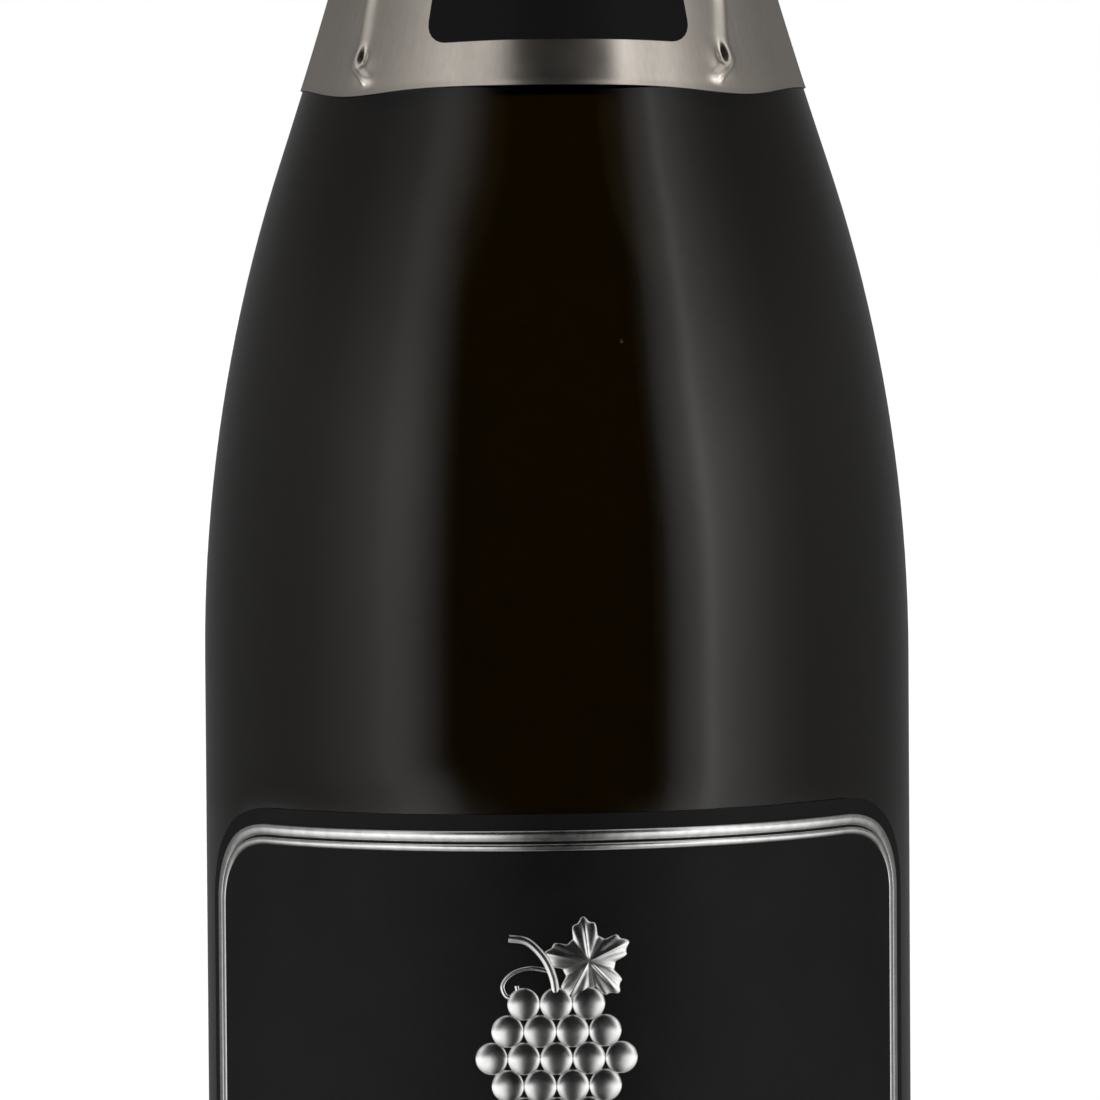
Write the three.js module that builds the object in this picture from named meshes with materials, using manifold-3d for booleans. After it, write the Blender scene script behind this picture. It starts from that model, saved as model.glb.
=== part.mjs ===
// A closed 75 cl champagne bottle: glass, cork, wire cage, foil capsule and front label.
// Millimetres, Z up, origin at the middle of the standing ring. The label faces -Y.
// Angles round the bottle are counted from the front, -Y, towards +X.

import * as THREE from 'three';
import { mergeVertices } from 'three/addons/utils/BufferGeometryUtils.js';
import Module from 'manifold-3d';

// Glass: body, shoulder and neck
const BODY_DIAMETER = 88.5;
const GLASS_HEIGHT = 300;
const SHOULDER_START = 104;
const SHOULDER_RADIUS = 198;
const SHOULDER_TURN = THREE.MathUtils.degToRad(18.2);
const NECK_DIAMETER = 27;
const NECK_SWEEP_LOW = 51;
const NECK_SWEEP_HIGH = 40;
const BODY_WALL = 4.7;
const BORE_DIAMETER = 18;
const BORE_LENGTH = 30;

// Glass: foot
const STANDING_RING_DIAMETER = 66;
const STANDING_RING_WIDTH = 4;
const HEEL_HEIGHT = 11;
const PUNT_DEPTH = 33;
const PUNT_CROWN = 9.3;
const PUNT_FLANK = 6.2;
const PUNT_FLANK_HEIGHT = 20.5;
const PUNT_GLASS = 8;
const FOOT_GLASS = 9;

// Glass: finish, from the mouth down
const LIP_DIAMETER = 28.6;
const LIP_HEIGHT = 7;
const LIP_ROUND = 1.6;
const GROOVE_DIAMETER = 26.8;
const GROOVE_HEIGHT = 4;
const RING_DIAMETER = 32.8;
const RING_HEIGHT = 8;
const RING_ROUND = 1.8;
const MOUTH_ROUND = 1;

// Cork
const CORK_INSERTED = 24;
const CORK_FIT = 0.15;
const CORK_HEAD_DIAMETER = 30.4;
const CORK_HEAD_HEIGHT = 17.6;
const CORK_HEAD_ROUND = 2.6;
const CORK_DISC_HEIGHT = 5.6;
const CORK_CHAMFER = 0.7;
const GLUE_LINE = 0.1;

// Cap plate on the cork
const PLATE_DIAMETER = 27;
const PLATE_SHEET = 0.4;
const PLATE_FLAT = 3;
const PLATE_DOME = 1.3;

// Wire cage
const WIRE_DIAMETER = 1;
const LEG_COUNT = 4;
const LEG_TURNS = 5;
const LEG_RISE = 0.8;
const EYE_DIAMETER = 2.6;
const BELT_SPAN_GAP = 0.6;
const STUB_SPREAD = 1.5;
const STUB_BEND = 1.45;

// Eyelet of the belt
const STEM_HEIGHT = 6;
const STEM_TURNS = 2;
const STEM_FOOT = 0.8;
const LOOP_HEIGHT = 8.5;
const LOOP_WIDTH = 7.2;
const LOOP_LEAN = 1.4;
const STRAND_SPREAD = 1.1;

// Foil capsule
const FOIL_THICKNESS = 0.2;
const FOIL_GAP = 0.15;
const HOOD_EASE = 1.1;
const HOOD_BELOW_BELT = 2.5;
const HOOD_HEADROOM = 0.6;
const HOOD_ROUND = 7;
const HOOD_LEDGE_WIDTH = 2.4;
const HOOD_DISC_DOME = 0.5;
const STRIP_HEIGHT = 6;
const BRIDGE_HEIGHT = 10;
const SKIRT_LENGTH = 101.4;
const EDGE_DROP = 1.2;
const PLEAT_ANGLE = THREE.MathUtils.degToRad(50);
const PLEAT_HEIGHT = 0.6;
const PLEAT_WIDTH = 0.9;
const TAB_WIDTH = 9;
const TAB_HEIGHT = 4.2;
const TAB_ROUND = 2;
const TAB_ANGLE = THREE.MathUtils.degToRad(-60);

// Dark panel on the capsule
const PANEL_WIDTH = 34;
const PANEL_ABOVE_EDGE = 5.1;
const PANEL_HEIGHT = 10;
const PANEL_ROUND = 1.8;
const PANEL_ARCH = 0.45;
const PANEL_THICKNESS = 0.15;

// Front label and its border of two raised lines
const LABEL_TOP_BELOW_SHOULDER = 16.7;
const LABEL_ABOVE_HEEL = 8.8;
const LABEL_MARGIN = 1.9;
const LABEL_THICKNESS = 0.2;
const BORDER_WIDTH = 108.8;
const BORDER_CORNER_WIDTH = 14.2;
const BORDER_CORNER_HEIGHT = 10.4;
const BORDER_OUTER_LINE = 1.4;
const BORDER_GROOVE = 0.3;
const BORDER_INNER_LINE = 0.8;
const BORDER_RELIEF = 0.4;

// Clearances between pieces that touch
const SEAT_GAP = 0.3;
const SKIN_GAP = 0.15;
const EDGE_GAP = 0.2;

// Facets
const SIDES = 36;
const ROUND_STEPS = 2;
const BEND_STEPS = 3;
const CURVE_STEPS = 5;
const NECK_STEPS = 8;
const WIRE_SIDES = 5;
const PAIR_SIDES = 6;
const LEG_STEPS = 28;
const STEM_STEPS = 10;
const LOOP_STEPS = 22;
const LOOP_POINTS = 8;
const EYE_STEPS = 10;
const BELT_POINTS = 32;
const FOIL_SIDES = 64;
const FOIL_ROWS = 8;
const PLEAT_CROWDING = 0.7;

const bodyRadius = BODY_DIAMETER / 2;
const neckRadius = NECK_DIAMETER / 2;
const boreRadius = BORE_DIAMETER / 2;
const wireRadius = WIRE_DIAMETER / 2;
const lipUnder = GLASS_HEIGHT - LIP_HEIGHT;
const ringTop = lipUnder - GROOVE_HEIGHT;
const ringUnder = ringTop - RING_HEIGHT;
const eyeReach = EYE_DIAMETER / 2 + wireRadius;
const eyeRadius = neckRadius + SEAT_GAP + eyeReach;
const beltZ = ringUnder - SEAT_GAP - eyeReach;
const corkTop = GLASS_HEIGHT + CORK_HEAD_HEIGHT;
const plateUnder = corkTop + SEAT_GAP;
const topRingRadius = (PLATE_DIAMETER - PLATE_FLAT) / 2;
const topRingZ = plateUnder + PLATE_SHEET + SEAT_GAP + wireRadius;
const legRadius = RING_DIAMETER / 2 + SEAT_GAP + WIRE_DIAMETER;
const legTop = topRingZ + LEG_RISE + WIRE_DIAMETER;
const hoodRadius = legRadius + WIRE_DIAMETER + HOOD_EASE;
const hoodBottom = beltZ - HOOD_BELOW_BELT;
const hoodTop = legTop + HOOD_HEADROOM;
const stripBottom = hoodBottom - STRIP_HEIGHT;
const bridgeBottom = hoodBottom - BRIDGE_HEIGHT;
const skirtEdge = hoodBottom - SKIRT_LENGTH;
const panelBottom = skirtEdge + PANEL_ABOVE_EDGE;
const labelTop = SHOULDER_START - LABEL_TOP_BELOW_SHOULDER;
const labelBottom = HEEL_HEIGHT + LABEL_ABOVE_HEEL;

const wasm = await Module();
wasm.setup();

function point(radius, z) {
  return new THREE.Vector2(radius, z);
}

function corner(from, through, to, steps) {
  return new THREE.QuadraticBezierCurve(from, through, to).getPoints(steps);
}

function sweep(from, leave, arrive, to, steps) {
  return new THREE.CubicBezierCurve(from, leave, arrive, to).getPoints(steps);
}

// Turns a profile of radius and height round the bottle's axis.
function revolve(profile) {
  return new THREE.LatheGeometry(profile, SIDES).rotateX(Math.PI / 2);
}

// Turns a wall between two heights, from inner radii to outer radii, into a ring.
function ring(innerLow, outerLow, innerHigh, outerHigh) {
  return revolve([innerLow, outerLow, outerHigh, innerHigh, innerLow]);
}

function asSolid(geometry) {
  const bare = geometry.clone();
  bare.deleteAttribute('normal');
  bare.deleteAttribute('uv');
  const merged = mergeVertices(bare, 1e-4);
  const index = merged.index.array;
  const triangles = [];
  for (let k = 0; k < index.length; k += 3) {
    const [a, b, c] = [index[k], index[k + 1], index[k + 2]];
    if (a !== b && b !== c && c !== a) triangles.push(a, b, c);
  }
  return new wasm.Manifold(new wasm.Mesh({
    numProp: 3,
    vertProperties: Float32Array.from(merged.attributes.position.array),
    triVerts: Uint32Array.from(triangles),
  }));
}

function asGeometry(solid) {
  const mesh = solid.getMesh();
  const geometry = new THREE.BufferGeometry();
  geometry.setAttribute('position', new THREE.BufferAttribute(mesh.vertProperties, 3));
  geometry.setIndex(new THREE.BufferAttribute(mesh.triVerts, 1));
  geometry.computeVertexNormals();
  return geometry;
}

// The outside of the glass from the standing ring to the mouth.
function glassOutside() {
  const foot = STANDING_RING_DIAMETER / 2 + STANDING_RING_WIDTH / 2;
  const heel = corner(
    point(foot, 0),
    point(bodyRadius, 0),
    point(bodyRadius, HEEL_HEIGHT),
    BEND_STEPS,
  );
  const shoulder = new THREE.ArcCurve(
    bodyRadius - SHOULDER_RADIUS, SHOULDER_START, SHOULDER_RADIUS, 0, SHOULDER_TURN, false,
  ).getPoints(CURVE_STEPS);
  const turn = shoulder.pop();
  const slope = point(-Math.sin(SHOULDER_TURN), Math.cos(SHOULDER_TURN));
  const neck = sweep(
    turn,
    turn.clone().addScaledVector(slope, NECK_SWEEP_LOW),
    point(neckRadius, ringUnder - NECK_SWEEP_HIGH),
    point(neckRadius, ringUnder),
    NECK_STEPS,
  );
  return [
    ...heel,
    ...shoulder,
    ...neck,
    ...roundedBand(RING_DIAMETER / 2, ringUnder, ringTop, RING_ROUND),
    point(GROOVE_DIAMETER / 2, ringTop),
    point(GROOVE_DIAMETER / 2, lipUnder),
    ...roundedBand(LIP_DIAMETER / 2, lipUnder, GLASS_HEIGHT, LIP_ROUND),
  ];
}

function roundedBand(radius, low, high, round) {
  const inner = radius - round;
  const lower = corner(point(inner, low), point(radius, low), point(radius, low + round), ROUND_STEPS);
  const upper = corner(point(radius, high - round), point(radius, high), point(inner, high), ROUND_STEPS);
  return [...lower, ...upper];
}

const outside = glassOutside();

// The glass radius at a height, on the facets of its outside.
function glassRadius(z) {
  const above = outside.findIndex((p) => p.y >= z);
  const [low, high] = [outside[above - 1], outside[above]];
  return THREE.MathUtils.mapLinear(z, low.y, high.y, low.x, high.x);
}

function glassBottle() {
  const footInner = STANDING_RING_DIAMETER / 2 - STANDING_RING_WIDTH / 2;
  const cavityRadius = bodyRadius - BODY_WALL;
  const boreEnd = GLASS_HEIGHT - BORE_LENGTH;
  const boreWall = glassRadius(boreEnd) - boreRadius;
  const punt = sweep(
    point(0, PUNT_DEPTH),
    point(PUNT_CROWN, PUNT_DEPTH),
    point(footInner - PUNT_FLANK, PUNT_FLANK_HEIGHT),
    point(footInner, 0),
    CURVE_STEPS,
  );
  const mouth = corner(
    point(boreRadius + MOUTH_ROUND, GLASS_HEIGHT),
    point(boreRadius, GLASS_HEIGHT),
    point(boreRadius, GLASS_HEIGHT - MOUTH_ROUND),
    ROUND_STEPS,
  );
  const cavity = outside
    .filter((p) => p.y >= SHOULDER_START && p.y < boreEnd)
    .map((p) => {
      const wall = THREE.MathUtils.mapLinear(p.y, SHOULDER_START, boreEnd, BODY_WALL, boreWall);
      return point(p.x - wall, p.y);
    })
    .reverse();
  const valley = point(STANDING_RING_DIAMETER / 2, FOOT_GLASS);
  const innerHeel = corner(
    point(cavityRadius, FOOT_GLASS + HEEL_HEIGHT),
    point(cavityRadius, FOOT_GLASS),
    valley,
    BEND_STEPS,
  );
  const innerTop = PUNT_DEPTH + PUNT_GLASS;
  const innerPunt = sweep(
    valley,
    point(valley.x - PUNT_FLANK, PUNT_FLANK_HEIGHT),
    point(PUNT_CROWN + PUNT_GLASS / 2, innerTop),
    point(0, innerTop),
    CURVE_STEPS,
  );
  return revolve([
    ...punt,
    ...outside,
    ...mouth,
    point(boreRadius, boreEnd),
    ...cavity,
    ...innerHeel,
    ...innerPunt.slice(1),
  ]);
}

const shankRadius = boreRadius - CORK_FIT;
const discLowerBottom = GLASS_HEIGHT - CORK_INSERTED;
const discUpperBottom = discLowerBottom + CORK_DISC_HEIGHT + GLUE_LINE;
const corkBodyBottom = discUpperBottom + CORK_DISC_HEIGHT + GLUE_LINE;

function corkBody() {
  const head = CORK_HEAD_DIAMETER / 2;
  const headUnder = GLASS_HEIGHT + SEAT_GAP;
  const collar = shankRadius + CORK_CHAMFER;
  return revolve([
    point(0, corkBodyBottom),
    point(shankRadius, corkBodyBottom),
    point(shankRadius, headUnder - MOUTH_ROUND),
    point(collar, headUnder),
    point(LIP_DIAMETER / 2 - LIP_ROUND, headUnder),
    ...corner(
      point(head - CORK_HEAD_ROUND / 2, headUnder + CORK_HEAD_ROUND / 4),
      point(head, headUnder + CORK_HEAD_ROUND / 2),
      point(head, headUnder + CORK_HEAD_ROUND * 2),
      ROUND_STEPS,
    ),
    ...corner(
      point(head, corkTop - CORK_HEAD_ROUND),
      point(head, corkTop),
      point(head - CORK_HEAD_ROUND, corkTop),
      ROUND_STEPS,
    ),
    point(0, corkTop),
  ]);
}

function corkDisc(bottom, chamfer) {
  const top = bottom + CORK_DISC_HEIGHT;
  return revolve([
    point(0, bottom),
    point(shankRadius - chamfer, bottom),
    point(shankRadius, bottom + CORK_CHAMFER),
    point(shankRadius, top),
    point(0, top),
  ]);
}

// A pressed sheet with a dome in the middle and a flat round it, where the wire ring lies.
function cagePlate() {
  const rim = PLATE_DIAMETER / 2;
  const dome = rim - PLATE_FLAT;
  const crown = plateUnder + PLATE_DOME;
  const under = corner(point(0, crown), point(dome, crown), point(dome, plateUnder), BEND_STEPS);
  const over = under.map((p) => point(p.x, p.y + PLATE_SHEET)).reverse();
  return revolve([
    ...under,
    point(rim - PLATE_SHEET / 2, plateUnder),
    point(rim, plateUnder + PLATE_SHEET / 2),
    point(rim - PLATE_SHEET / 2, plateUnder + PLATE_SHEET),
    ...over,
  ]);
}

// A round wire bent along a curve.
function wire(curve, steps) {
  const section = new THREE.Shape(
    Array.from({ length: WIRE_SIDES }, (_, k) => {
      const turn = (2 * Math.PI * k) / WIRE_SIDES;
      return new THREE.Vector2(wireRadius * Math.cos(turn), wireRadius * Math.sin(turn));
    }),
  );
  return new THREE.ExtrudeGeometry(section, { steps, extrudePath: curve, bevelEnabled: false });
}

// Two wires twisted tight along a curve in the XZ plane, as one body with a waisted section.
function twistedPair(curve, turns, rings) {
  const geometry = new THREE.CylinderGeometry(1, 1, 1, PAIR_SIDES, rings);
  const place = geometry.attributes.position;
  const across = new THREE.Vector3(0, 1, 0);
  for (let k = 0; k < place.count; k += 1) {
    const share = place.getY(k) + 0.5;
    const turn = Math.atan2(place.getX(k), place.getZ(k));
    const reach = Math.hypot(place.getX(k), place.getZ(k)) * wireRadius * (1 + Math.abs(Math.sin(turn)));
    const twist = turn + 2 * Math.PI * turns * share;
    const out = across.clone().cross(curve.getTangentAt(share));
    const spot = curve.getPointAt(share)
      .addScaledVector(out, reach * Math.cos(twist))
      .addScaledVector(across, reach * Math.sin(twist));
    place.setXYZ(k, spot.x, spot.y, spot.z);
  }
  return geometry;
}

function planeCurve(points) {
  return new THREE.CatmullRomCurve3(points.map(([x, z]) => new THREE.Vector3(x, 0, z)));
}

// One leg, from the eye round the belt up to the top ring.
function cageLeg() {
  const headClear = CORK_HEAD_DIAMETER / 2 + SEAT_GAP + WIRE_DIAMETER;
  const diagonal = eyeReach * Math.SQRT1_2;
  return planeCurve([
    [eyeRadius + diagonal, beltZ + diagonal],
    [legRadius, ringUnder + RING_ROUND],
    [legRadius, ringTop - RING_ROUND],
    [(legRadius + headClear) / 2, lipUnder],
    [headClear, GLASS_HEIGHT + CORK_HEAD_HEIGHT / 3],
    [headClear, corkTop - CORK_HEAD_ROUND],
    [(headClear * 2 + topRingRadius) / 3, topRingZ + LEG_RISE / 2],
    [(headClear + topRingRadius) / 2, topRingZ + LEG_RISE],
    [topRingRadius, topRingZ],
  ]);
}

function legAngle(k) {
  return (2 * Math.PI * (k + 0.5)) / LEG_COUNT;
}

function cageWire() {
  const topRing = new THREE.TorusGeometry(topRingRadius, wireRadius, WIRE_SIDES, SIDES)
    .translate(0, 0, topRingZ);
  let cage = asSolid(topRing);
  const leg = twistedPair(cageLeg(), LEG_TURNS, LEG_STEPS);
  const eye = new THREE.TorusGeometry(EYE_DIAMETER / 2, wireRadius, WIRE_SIDES, EYE_STEPS)
    .rotateX(Math.PI / 2)
    .translate(eyeRadius, 0, beltZ);
  for (let k = 0; k < LEG_COUNT; k += 1) {
    cage = cage
      .add(asSolid(leg.clone().rotateZ(legAngle(k))))
      .add(asSolid(eye.clone().rotateZ(legAngle(k))));
  }
  return asGeometry(cage);
}

// The belt runs round the neck through the four eyes and turns out at +X towards the eyelet.
function beltWire() {
  const spanRadius = neckRadius + BELT_SPAN_GAP + wireRadius;
  const spread = STUB_SPREAD / 2;
  const stubStart = spanRadius + wireRadius;
  const stubEnd = legRadius - WIRE_DIAMETER - SEAT_GAP;
  const points = [
    new THREE.Vector3(stubEnd, spread, beltZ),
    new THREE.Vector3((stubStart + stubEnd) / 2, spread, beltZ),
    new THREE.Vector3(stubStart, spread + wireRadius / 2, beltZ),
  ];
  const opening = Math.asin((spread + STUB_BEND) / spanRadius);
  for (let k = 0; k <= BELT_POINTS; k += 1) {
    const angle = opening + ((2 * Math.PI - 2 * opening) * k) / BELT_POINTS;
    const atEye = ((1 + Math.cos(LEG_COUNT * (angle - legAngle(0)))) / 2) ** 2;
    const radius = spanRadius + (eyeRadius - spanRadius) * atEye;
    points.push(new THREE.Vector3(radius * Math.cos(angle), radius * Math.sin(angle), beltZ));
  }
  for (const p of points.slice(0, 3).reverse()) points.push(new THREE.Vector3(p.x, -p.y, p.z));
  return wire(new THREE.CatmullRomCurve3(points), BELT_POINTS * 2);
}

// The twisted stem of the belt's ends and its open loop, folded up against the finish ring.
function eyeletLoop() {
  const stemTop = beltZ + STEM_HEIGHT;
  const stem = twistedPair(planeCurve([
    [legRadius, beltZ - STEM_FOOT],
    [legRadius, beltZ + STEM_HEIGHT / 2],
    [legRadius, stemTop],
  ]), STEM_TURNS, STEM_STEPS);
  const points = [];
  for (let k = 0; k <= LOOP_POINTS; k += 1) {
    const turn = (2 * Math.PI * k) / LOOP_POINTS;
    const rise = (1 - Math.cos(turn)) / 2;
    const strand = (1 - rise) * (k < LOOP_POINTS / 2 ? STRAND_SPREAD : -STRAND_SPREAD) / 2;
    points.push(new THREE.Vector3(
      legRadius - LOOP_LEAN * rise,
      strand + (LOOP_WIDTH / 2) * Math.sin(turn),
      stemTop - wireRadius + LOOP_HEIGHT * rise,
    ));
  }
  const loop = wire(new THREE.CatmullRomCurve3(points), LOOP_STEPS);
  return asGeometry(asSolid(stem).add(asSolid(loop)));
}

// The inner radius of the foil: on the glass, then flaring out to the hood over the belt.
function foilRadius(z) {
  if (z <= bridgeBottom) return glassRadius(z) + FOIL_GAP;
  const seat = glassRadius(bridgeBottom) + FOIL_GAP;
  return THREE.MathUtils.mapLinear(z, bridgeBottom, hoodBottom, seat, hoodRadius);
}

function foilHood() {
  const outer = hoodRadius + FOIL_THICKNESS;
  const shoulder = hoodTop - HOOD_ROUND;
  const ledge = hoodRadius - HOOD_ROUND;
  const inside = corner(
    point(hoodRadius, shoulder),
    point(hoodRadius, hoodTop),
    point(ledge, hoodTop),
    BEND_STEPS,
  );
  const over = corner(
    point(outer, shoulder),
    point(outer, hoodTop + FOIL_THICKNESS),
    point(ledge, hoodTop + FOIL_THICKNESS),
    BEND_STEPS,
  );
  const hole = ledge - HOOD_LEDGE_WIDTH;
  return revolve([
    point(hoodRadius, hoodBottom),
    point(outer, hoodBottom),
    ...over,
    point(hole, hoodTop + FOIL_THICKNESS),
    point(hole, hoodTop),
    ...inside.reverse(),
    point(hoodRadius, hoodBottom),
  ]);
}

// The round top of the capsule lies on the ledge of the hood.
function hoodDisc() {
  const edge = hoodRadius - HOOD_ROUND;
  const under = hoodTop + FOIL_THICKNESS + SKIN_GAP;
  return revolve([
    point(0, under),
    point(edge, under),
    point(edge, under + FOIL_THICKNESS),
    point(edge - HOOD_LEDGE_WIDTH, under + FOIL_THICKNESS + HOOD_DISC_DOME),
    point(0, under + FOIL_THICKNESS + HOOD_DISC_DOME),
  ]);
}

function tearStrip() {
  const top = hoodBottom - EDGE_GAP;
  return ring(
    point(foilRadius(stripBottom), stripBottom),
    point(foilRadius(stripBottom) + FOIL_THICKNESS, stripBottom),
    point(foilRadius(top), top),
    point(foilRadius(top) + FOIL_THICKNESS, top),
  );
}

// Keeps what an outline, seen from the front, covers of the front half of a ring.
function frontCut(ringGeometry, outline) {
  const prism = new THREE.ExtrudeGeometry(outline, { depth: BODY_DIAMETER, bevelEnabled: false })
    .rotateX(Math.PI / 2);
  return asSolid(ringGeometry).intersect(asSolid(prism));
}

// A flat outline laid round a radius, as it is seen from the front.
function wrapped(shape, radius, divisions) {
  const seen = shape.getPoints(divisions).map((p) => point(radius * Math.sin(p.x / radius), p.y));
  return new THREE.Shape(seen);
}

function roundedOutline(halfWidth, low, high, roundWidth, roundHeight) {
  const shape = new THREE.Shape();
  const side = halfWidth - roundWidth;
  const [floor, ceiling] = [low + roundHeight, high - roundHeight];
  const quarter = Math.PI / 2;
  shape.moveTo(-side, low);
  shape.absellipse(side, floor, roundWidth, roundHeight, -quarter, 0, false, 0);
  shape.absellipse(side, ceiling, roundWidth, roundHeight, 0, quarter, false, 0);
  shape.absellipse(-side, ceiling, roundWidth, roundHeight, quarter, 2 * quarter, false, 0);
  shape.absellipse(-side, floor, roundWidth, roundHeight, 2 * quarter, 3 * quarter, false, 0);
  return shape;
}

// The loose end of the tear strip, lying on it.
function tearTab() {
  const middle = (stripBottom + hoodBottom) / 2;
  const [low, high] = [middle - TAB_HEIGHT / 2, middle + TAB_HEIGHT / 2];
  const seat = FOIL_THICKNESS + SEAT_GAP;
  const skin = ring(
    point(foilRadius(stripBottom) + seat, stripBottom),
    point(foilRadius(stripBottom) + seat + FOIL_THICKNESS, stripBottom),
    point(foilRadius(hoodBottom) + seat, hoodBottom),
    point(foilRadius(hoodBottom) + seat + FOIL_THICKNESS, hoodBottom),
  );
  const outline = roundedOutline(TAB_WIDTH / 2, low, high, TAB_ROUND, TAB_ROUND);
  return asGeometry(frontCut(skin, wrapped(outline, foilRadius(middle), ROUND_STEPS))).rotateZ(TAB_ANGLE);
}

// The foil on the neck. Its columns gather at four pleats, where the spare foil stands up in a
// ridge, and its lower edge hangs in an arch between each two of them.
function foilSkirt() {
  const top = stripBottom - EDGE_GAP;
  const rises = Array.from({ length: FOIL_ROWS }, (_, k) => k / (FOIL_ROWS - 1));
  const outer = rises.map((rise) => ({ rise, layer: FOIL_THICKNESS }));
  const inner = rises.map((rise) => ({ rise, layer: 0 })).reverse();
  const wall = [...outer, ...inner, outer[0]];
  const geometry = new THREE.LatheGeometry(wall.map((w) => point(1 + w.layer, w.rise)), FOIL_SIDES);
  const place = geometry.attributes.position;
  const pleatShift = PLEAT_ANGLE - Math.PI / 4;
  for (let k = 0; k < place.count; k += 1) {
    const even = (2 * Math.PI * Math.floor(k / wall.length)) / FOIL_SIDES;
    const column = even + (PLEAT_CROWDING * Math.sin(4 * even)) / 4;
    const angle = column + pleatShift * Math.sin(2 * column);
    const { rise, layer } = wall[k % wall.length];
    const edge = skirtEdge - EDGE_DROP * (1 - Math.abs(Math.cos(2 * column)));
    const z = THREE.MathUtils.lerp(edge, top, rise);
    const seat = foilRadius(z);
    const fromPleat = THREE.MathUtils.euclideanModulo(column, Math.PI / 2) - Math.PI / 4;
    const ridge = PLEAT_HEIGHT * Math.exp(-(((seat * fromPleat) / PLEAT_WIDTH) ** 2));
    const radius = seat + layer + ridge;
    place.setXYZ(k, radius * Math.sin(angle), -radius * Math.cos(angle), z);
  }
  return geometry;
}

function capsulePanel() {
  const [low, high] = [panelBottom - PANEL_ARCH, panelBottom + PANEL_HEIGHT];
  const seat = FOIL_THICKNESS + SKIN_GAP;
  const [under, over] = [low - PANEL_ROUND, high + PANEL_ROUND];
  const skin = ring(
    point(foilRadius(under) + seat, under),
    point(foilRadius(under) + seat + PANEL_THICKNESS, under),
    point(foilRadius(over) + seat, over),
    point(foilRadius(over) + seat + PANEL_THICKNESS, over),
  );
  const half = PANEL_WIDTH / 2;
  const shape = new THREE.Shape();
  shape.moveTo(-half, high - PANEL_ROUND);
  shape.lineTo(-half, low + PANEL_ROUND);
  shape.quadraticCurveTo(-half, low, -half + PANEL_ROUND, low);
  shape.quadraticCurveTo(0, low + 2 * PANEL_ARCH, half - PANEL_ROUND, low);
  shape.quadraticCurveTo(half, low, half, low + PANEL_ROUND);
  shape.lineTo(half, high - PANEL_ROUND);
  shape.quadraticCurveTo(half, high, half - PANEL_ROUND, high);
  shape.lineTo(-half + PANEL_ROUND, high);
  shape.quadraticCurveTo(-half, high, -half, high - PANEL_ROUND);
  return asGeometry(frontCut(skin, wrapped(shape, foilRadius(panelBottom), CURVE_STEPS)));
}

const labelSeat = bodyRadius + SKIN_GAP;
const borderSeat = labelSeat + LABEL_THICKNESS + SKIN_GAP;

function cylinderSkin(radius, thickness) {
  return ring(
    point(radius, labelBottom - LABEL_MARGIN),
    point(radius + thickness, labelBottom - LABEL_MARGIN),
    point(radius, labelTop + LABEL_MARGIN),
    point(radius + thickness, labelTop + LABEL_MARGIN),
  );
}

// The label's outline, drawn in from the border's outer edge by an inset.
function labelOutline(inset) {
  const edge = LABEL_MARGIN + inset;
  return wrapped(
    roundedOutline(
      BORDER_WIDTH / 2 - inset,
      labelBottom + edge,
      labelTop - edge,
      BORDER_CORNER_WIDTH - inset,
      BORDER_CORNER_HEIGHT - inset,
    ),
    bodyRadius,
    CURVE_STEPS,
  );
}

function frontLabel() {
  return asGeometry(frontCut(cylinderSkin(labelSeat, LABEL_THICKNESS), labelOutline(-LABEL_MARGIN)));
}

function borderLine(inset, width) {
  const band = labelOutline(inset);
  band.holes.push(labelOutline(inset + width));
  return asGeometry(frontCut(cylinderSkin(borderSeat, BORDER_RELIEF), band));
}

const bottle = new THREE.Group();

function addPiece(name, geometry, color, roughness, metalness) {
  const material = new THREE.MeshStandardMaterial({ color, roughness, metalness });
  const piece = new THREE.Mesh(geometry, material);
  piece.name = name;
  bottle.add(piece);
}

addPiece('glass_bottle', glassBottle(), 0x160d06, 0.06, 0);
addPiece('cork_body', corkBody(), 0xb98a5a, 0.9, 0);
addPiece('cork_disc_upper', corkDisc(discUpperBottom, 0), 0xc49a69, 0.9, 0);
addPiece('cork_disc_lower', corkDisc(discLowerBottom, CORK_CHAMFER), 0xc49a69, 0.9, 0);
addPiece('cage_plate', cagePlate(), 0x3a3a3a, 0.35, 0.6);
addPiece('cage_wire', cageWire(), 0xb4b2ae, 0.35, 1);
addPiece('belt_wire', beltWire(), 0xb4b2ae, 0.35, 1);
addPiece('eyelet_loop', eyeletLoop(), 0xb4b2ae, 0.35, 1);
addPiece('foil_hood', foilHood(), 0x9b958d, 0.35, 1);
addPiece('hood_disc', hoodDisc(), 0x9b958d, 0.35, 1);
addPiece('tear_strip', tearStrip(), 0x9b958d, 0.35, 1);
addPiece('tear_tab', tearTab(), 0x9b958d, 0.35, 1);
addPiece('foil_skirt', foilSkirt(), 0x9b958d, 0.35, 1);
addPiece('capsule_panel', capsulePanel(), 0x111111, 0.4, 0);
addPiece('front_label', frontLabel(), 0x191919, 0.7, 0);
addPiece('label_border_outer', borderLine(0, BORDER_OUTER_LINE), 0xd8d8d6, 0.2, 1);
addPiece(
  'label_border_inner',
  borderLine(BORDER_OUTER_LINE + BORDER_GROOVE, BORDER_INNER_LINE),
  0xd8d8d6,
  0.2,
  1,
);

export default bottle;
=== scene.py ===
import math

import bpy
from mathutils import Matrix, Vector, noise


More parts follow.
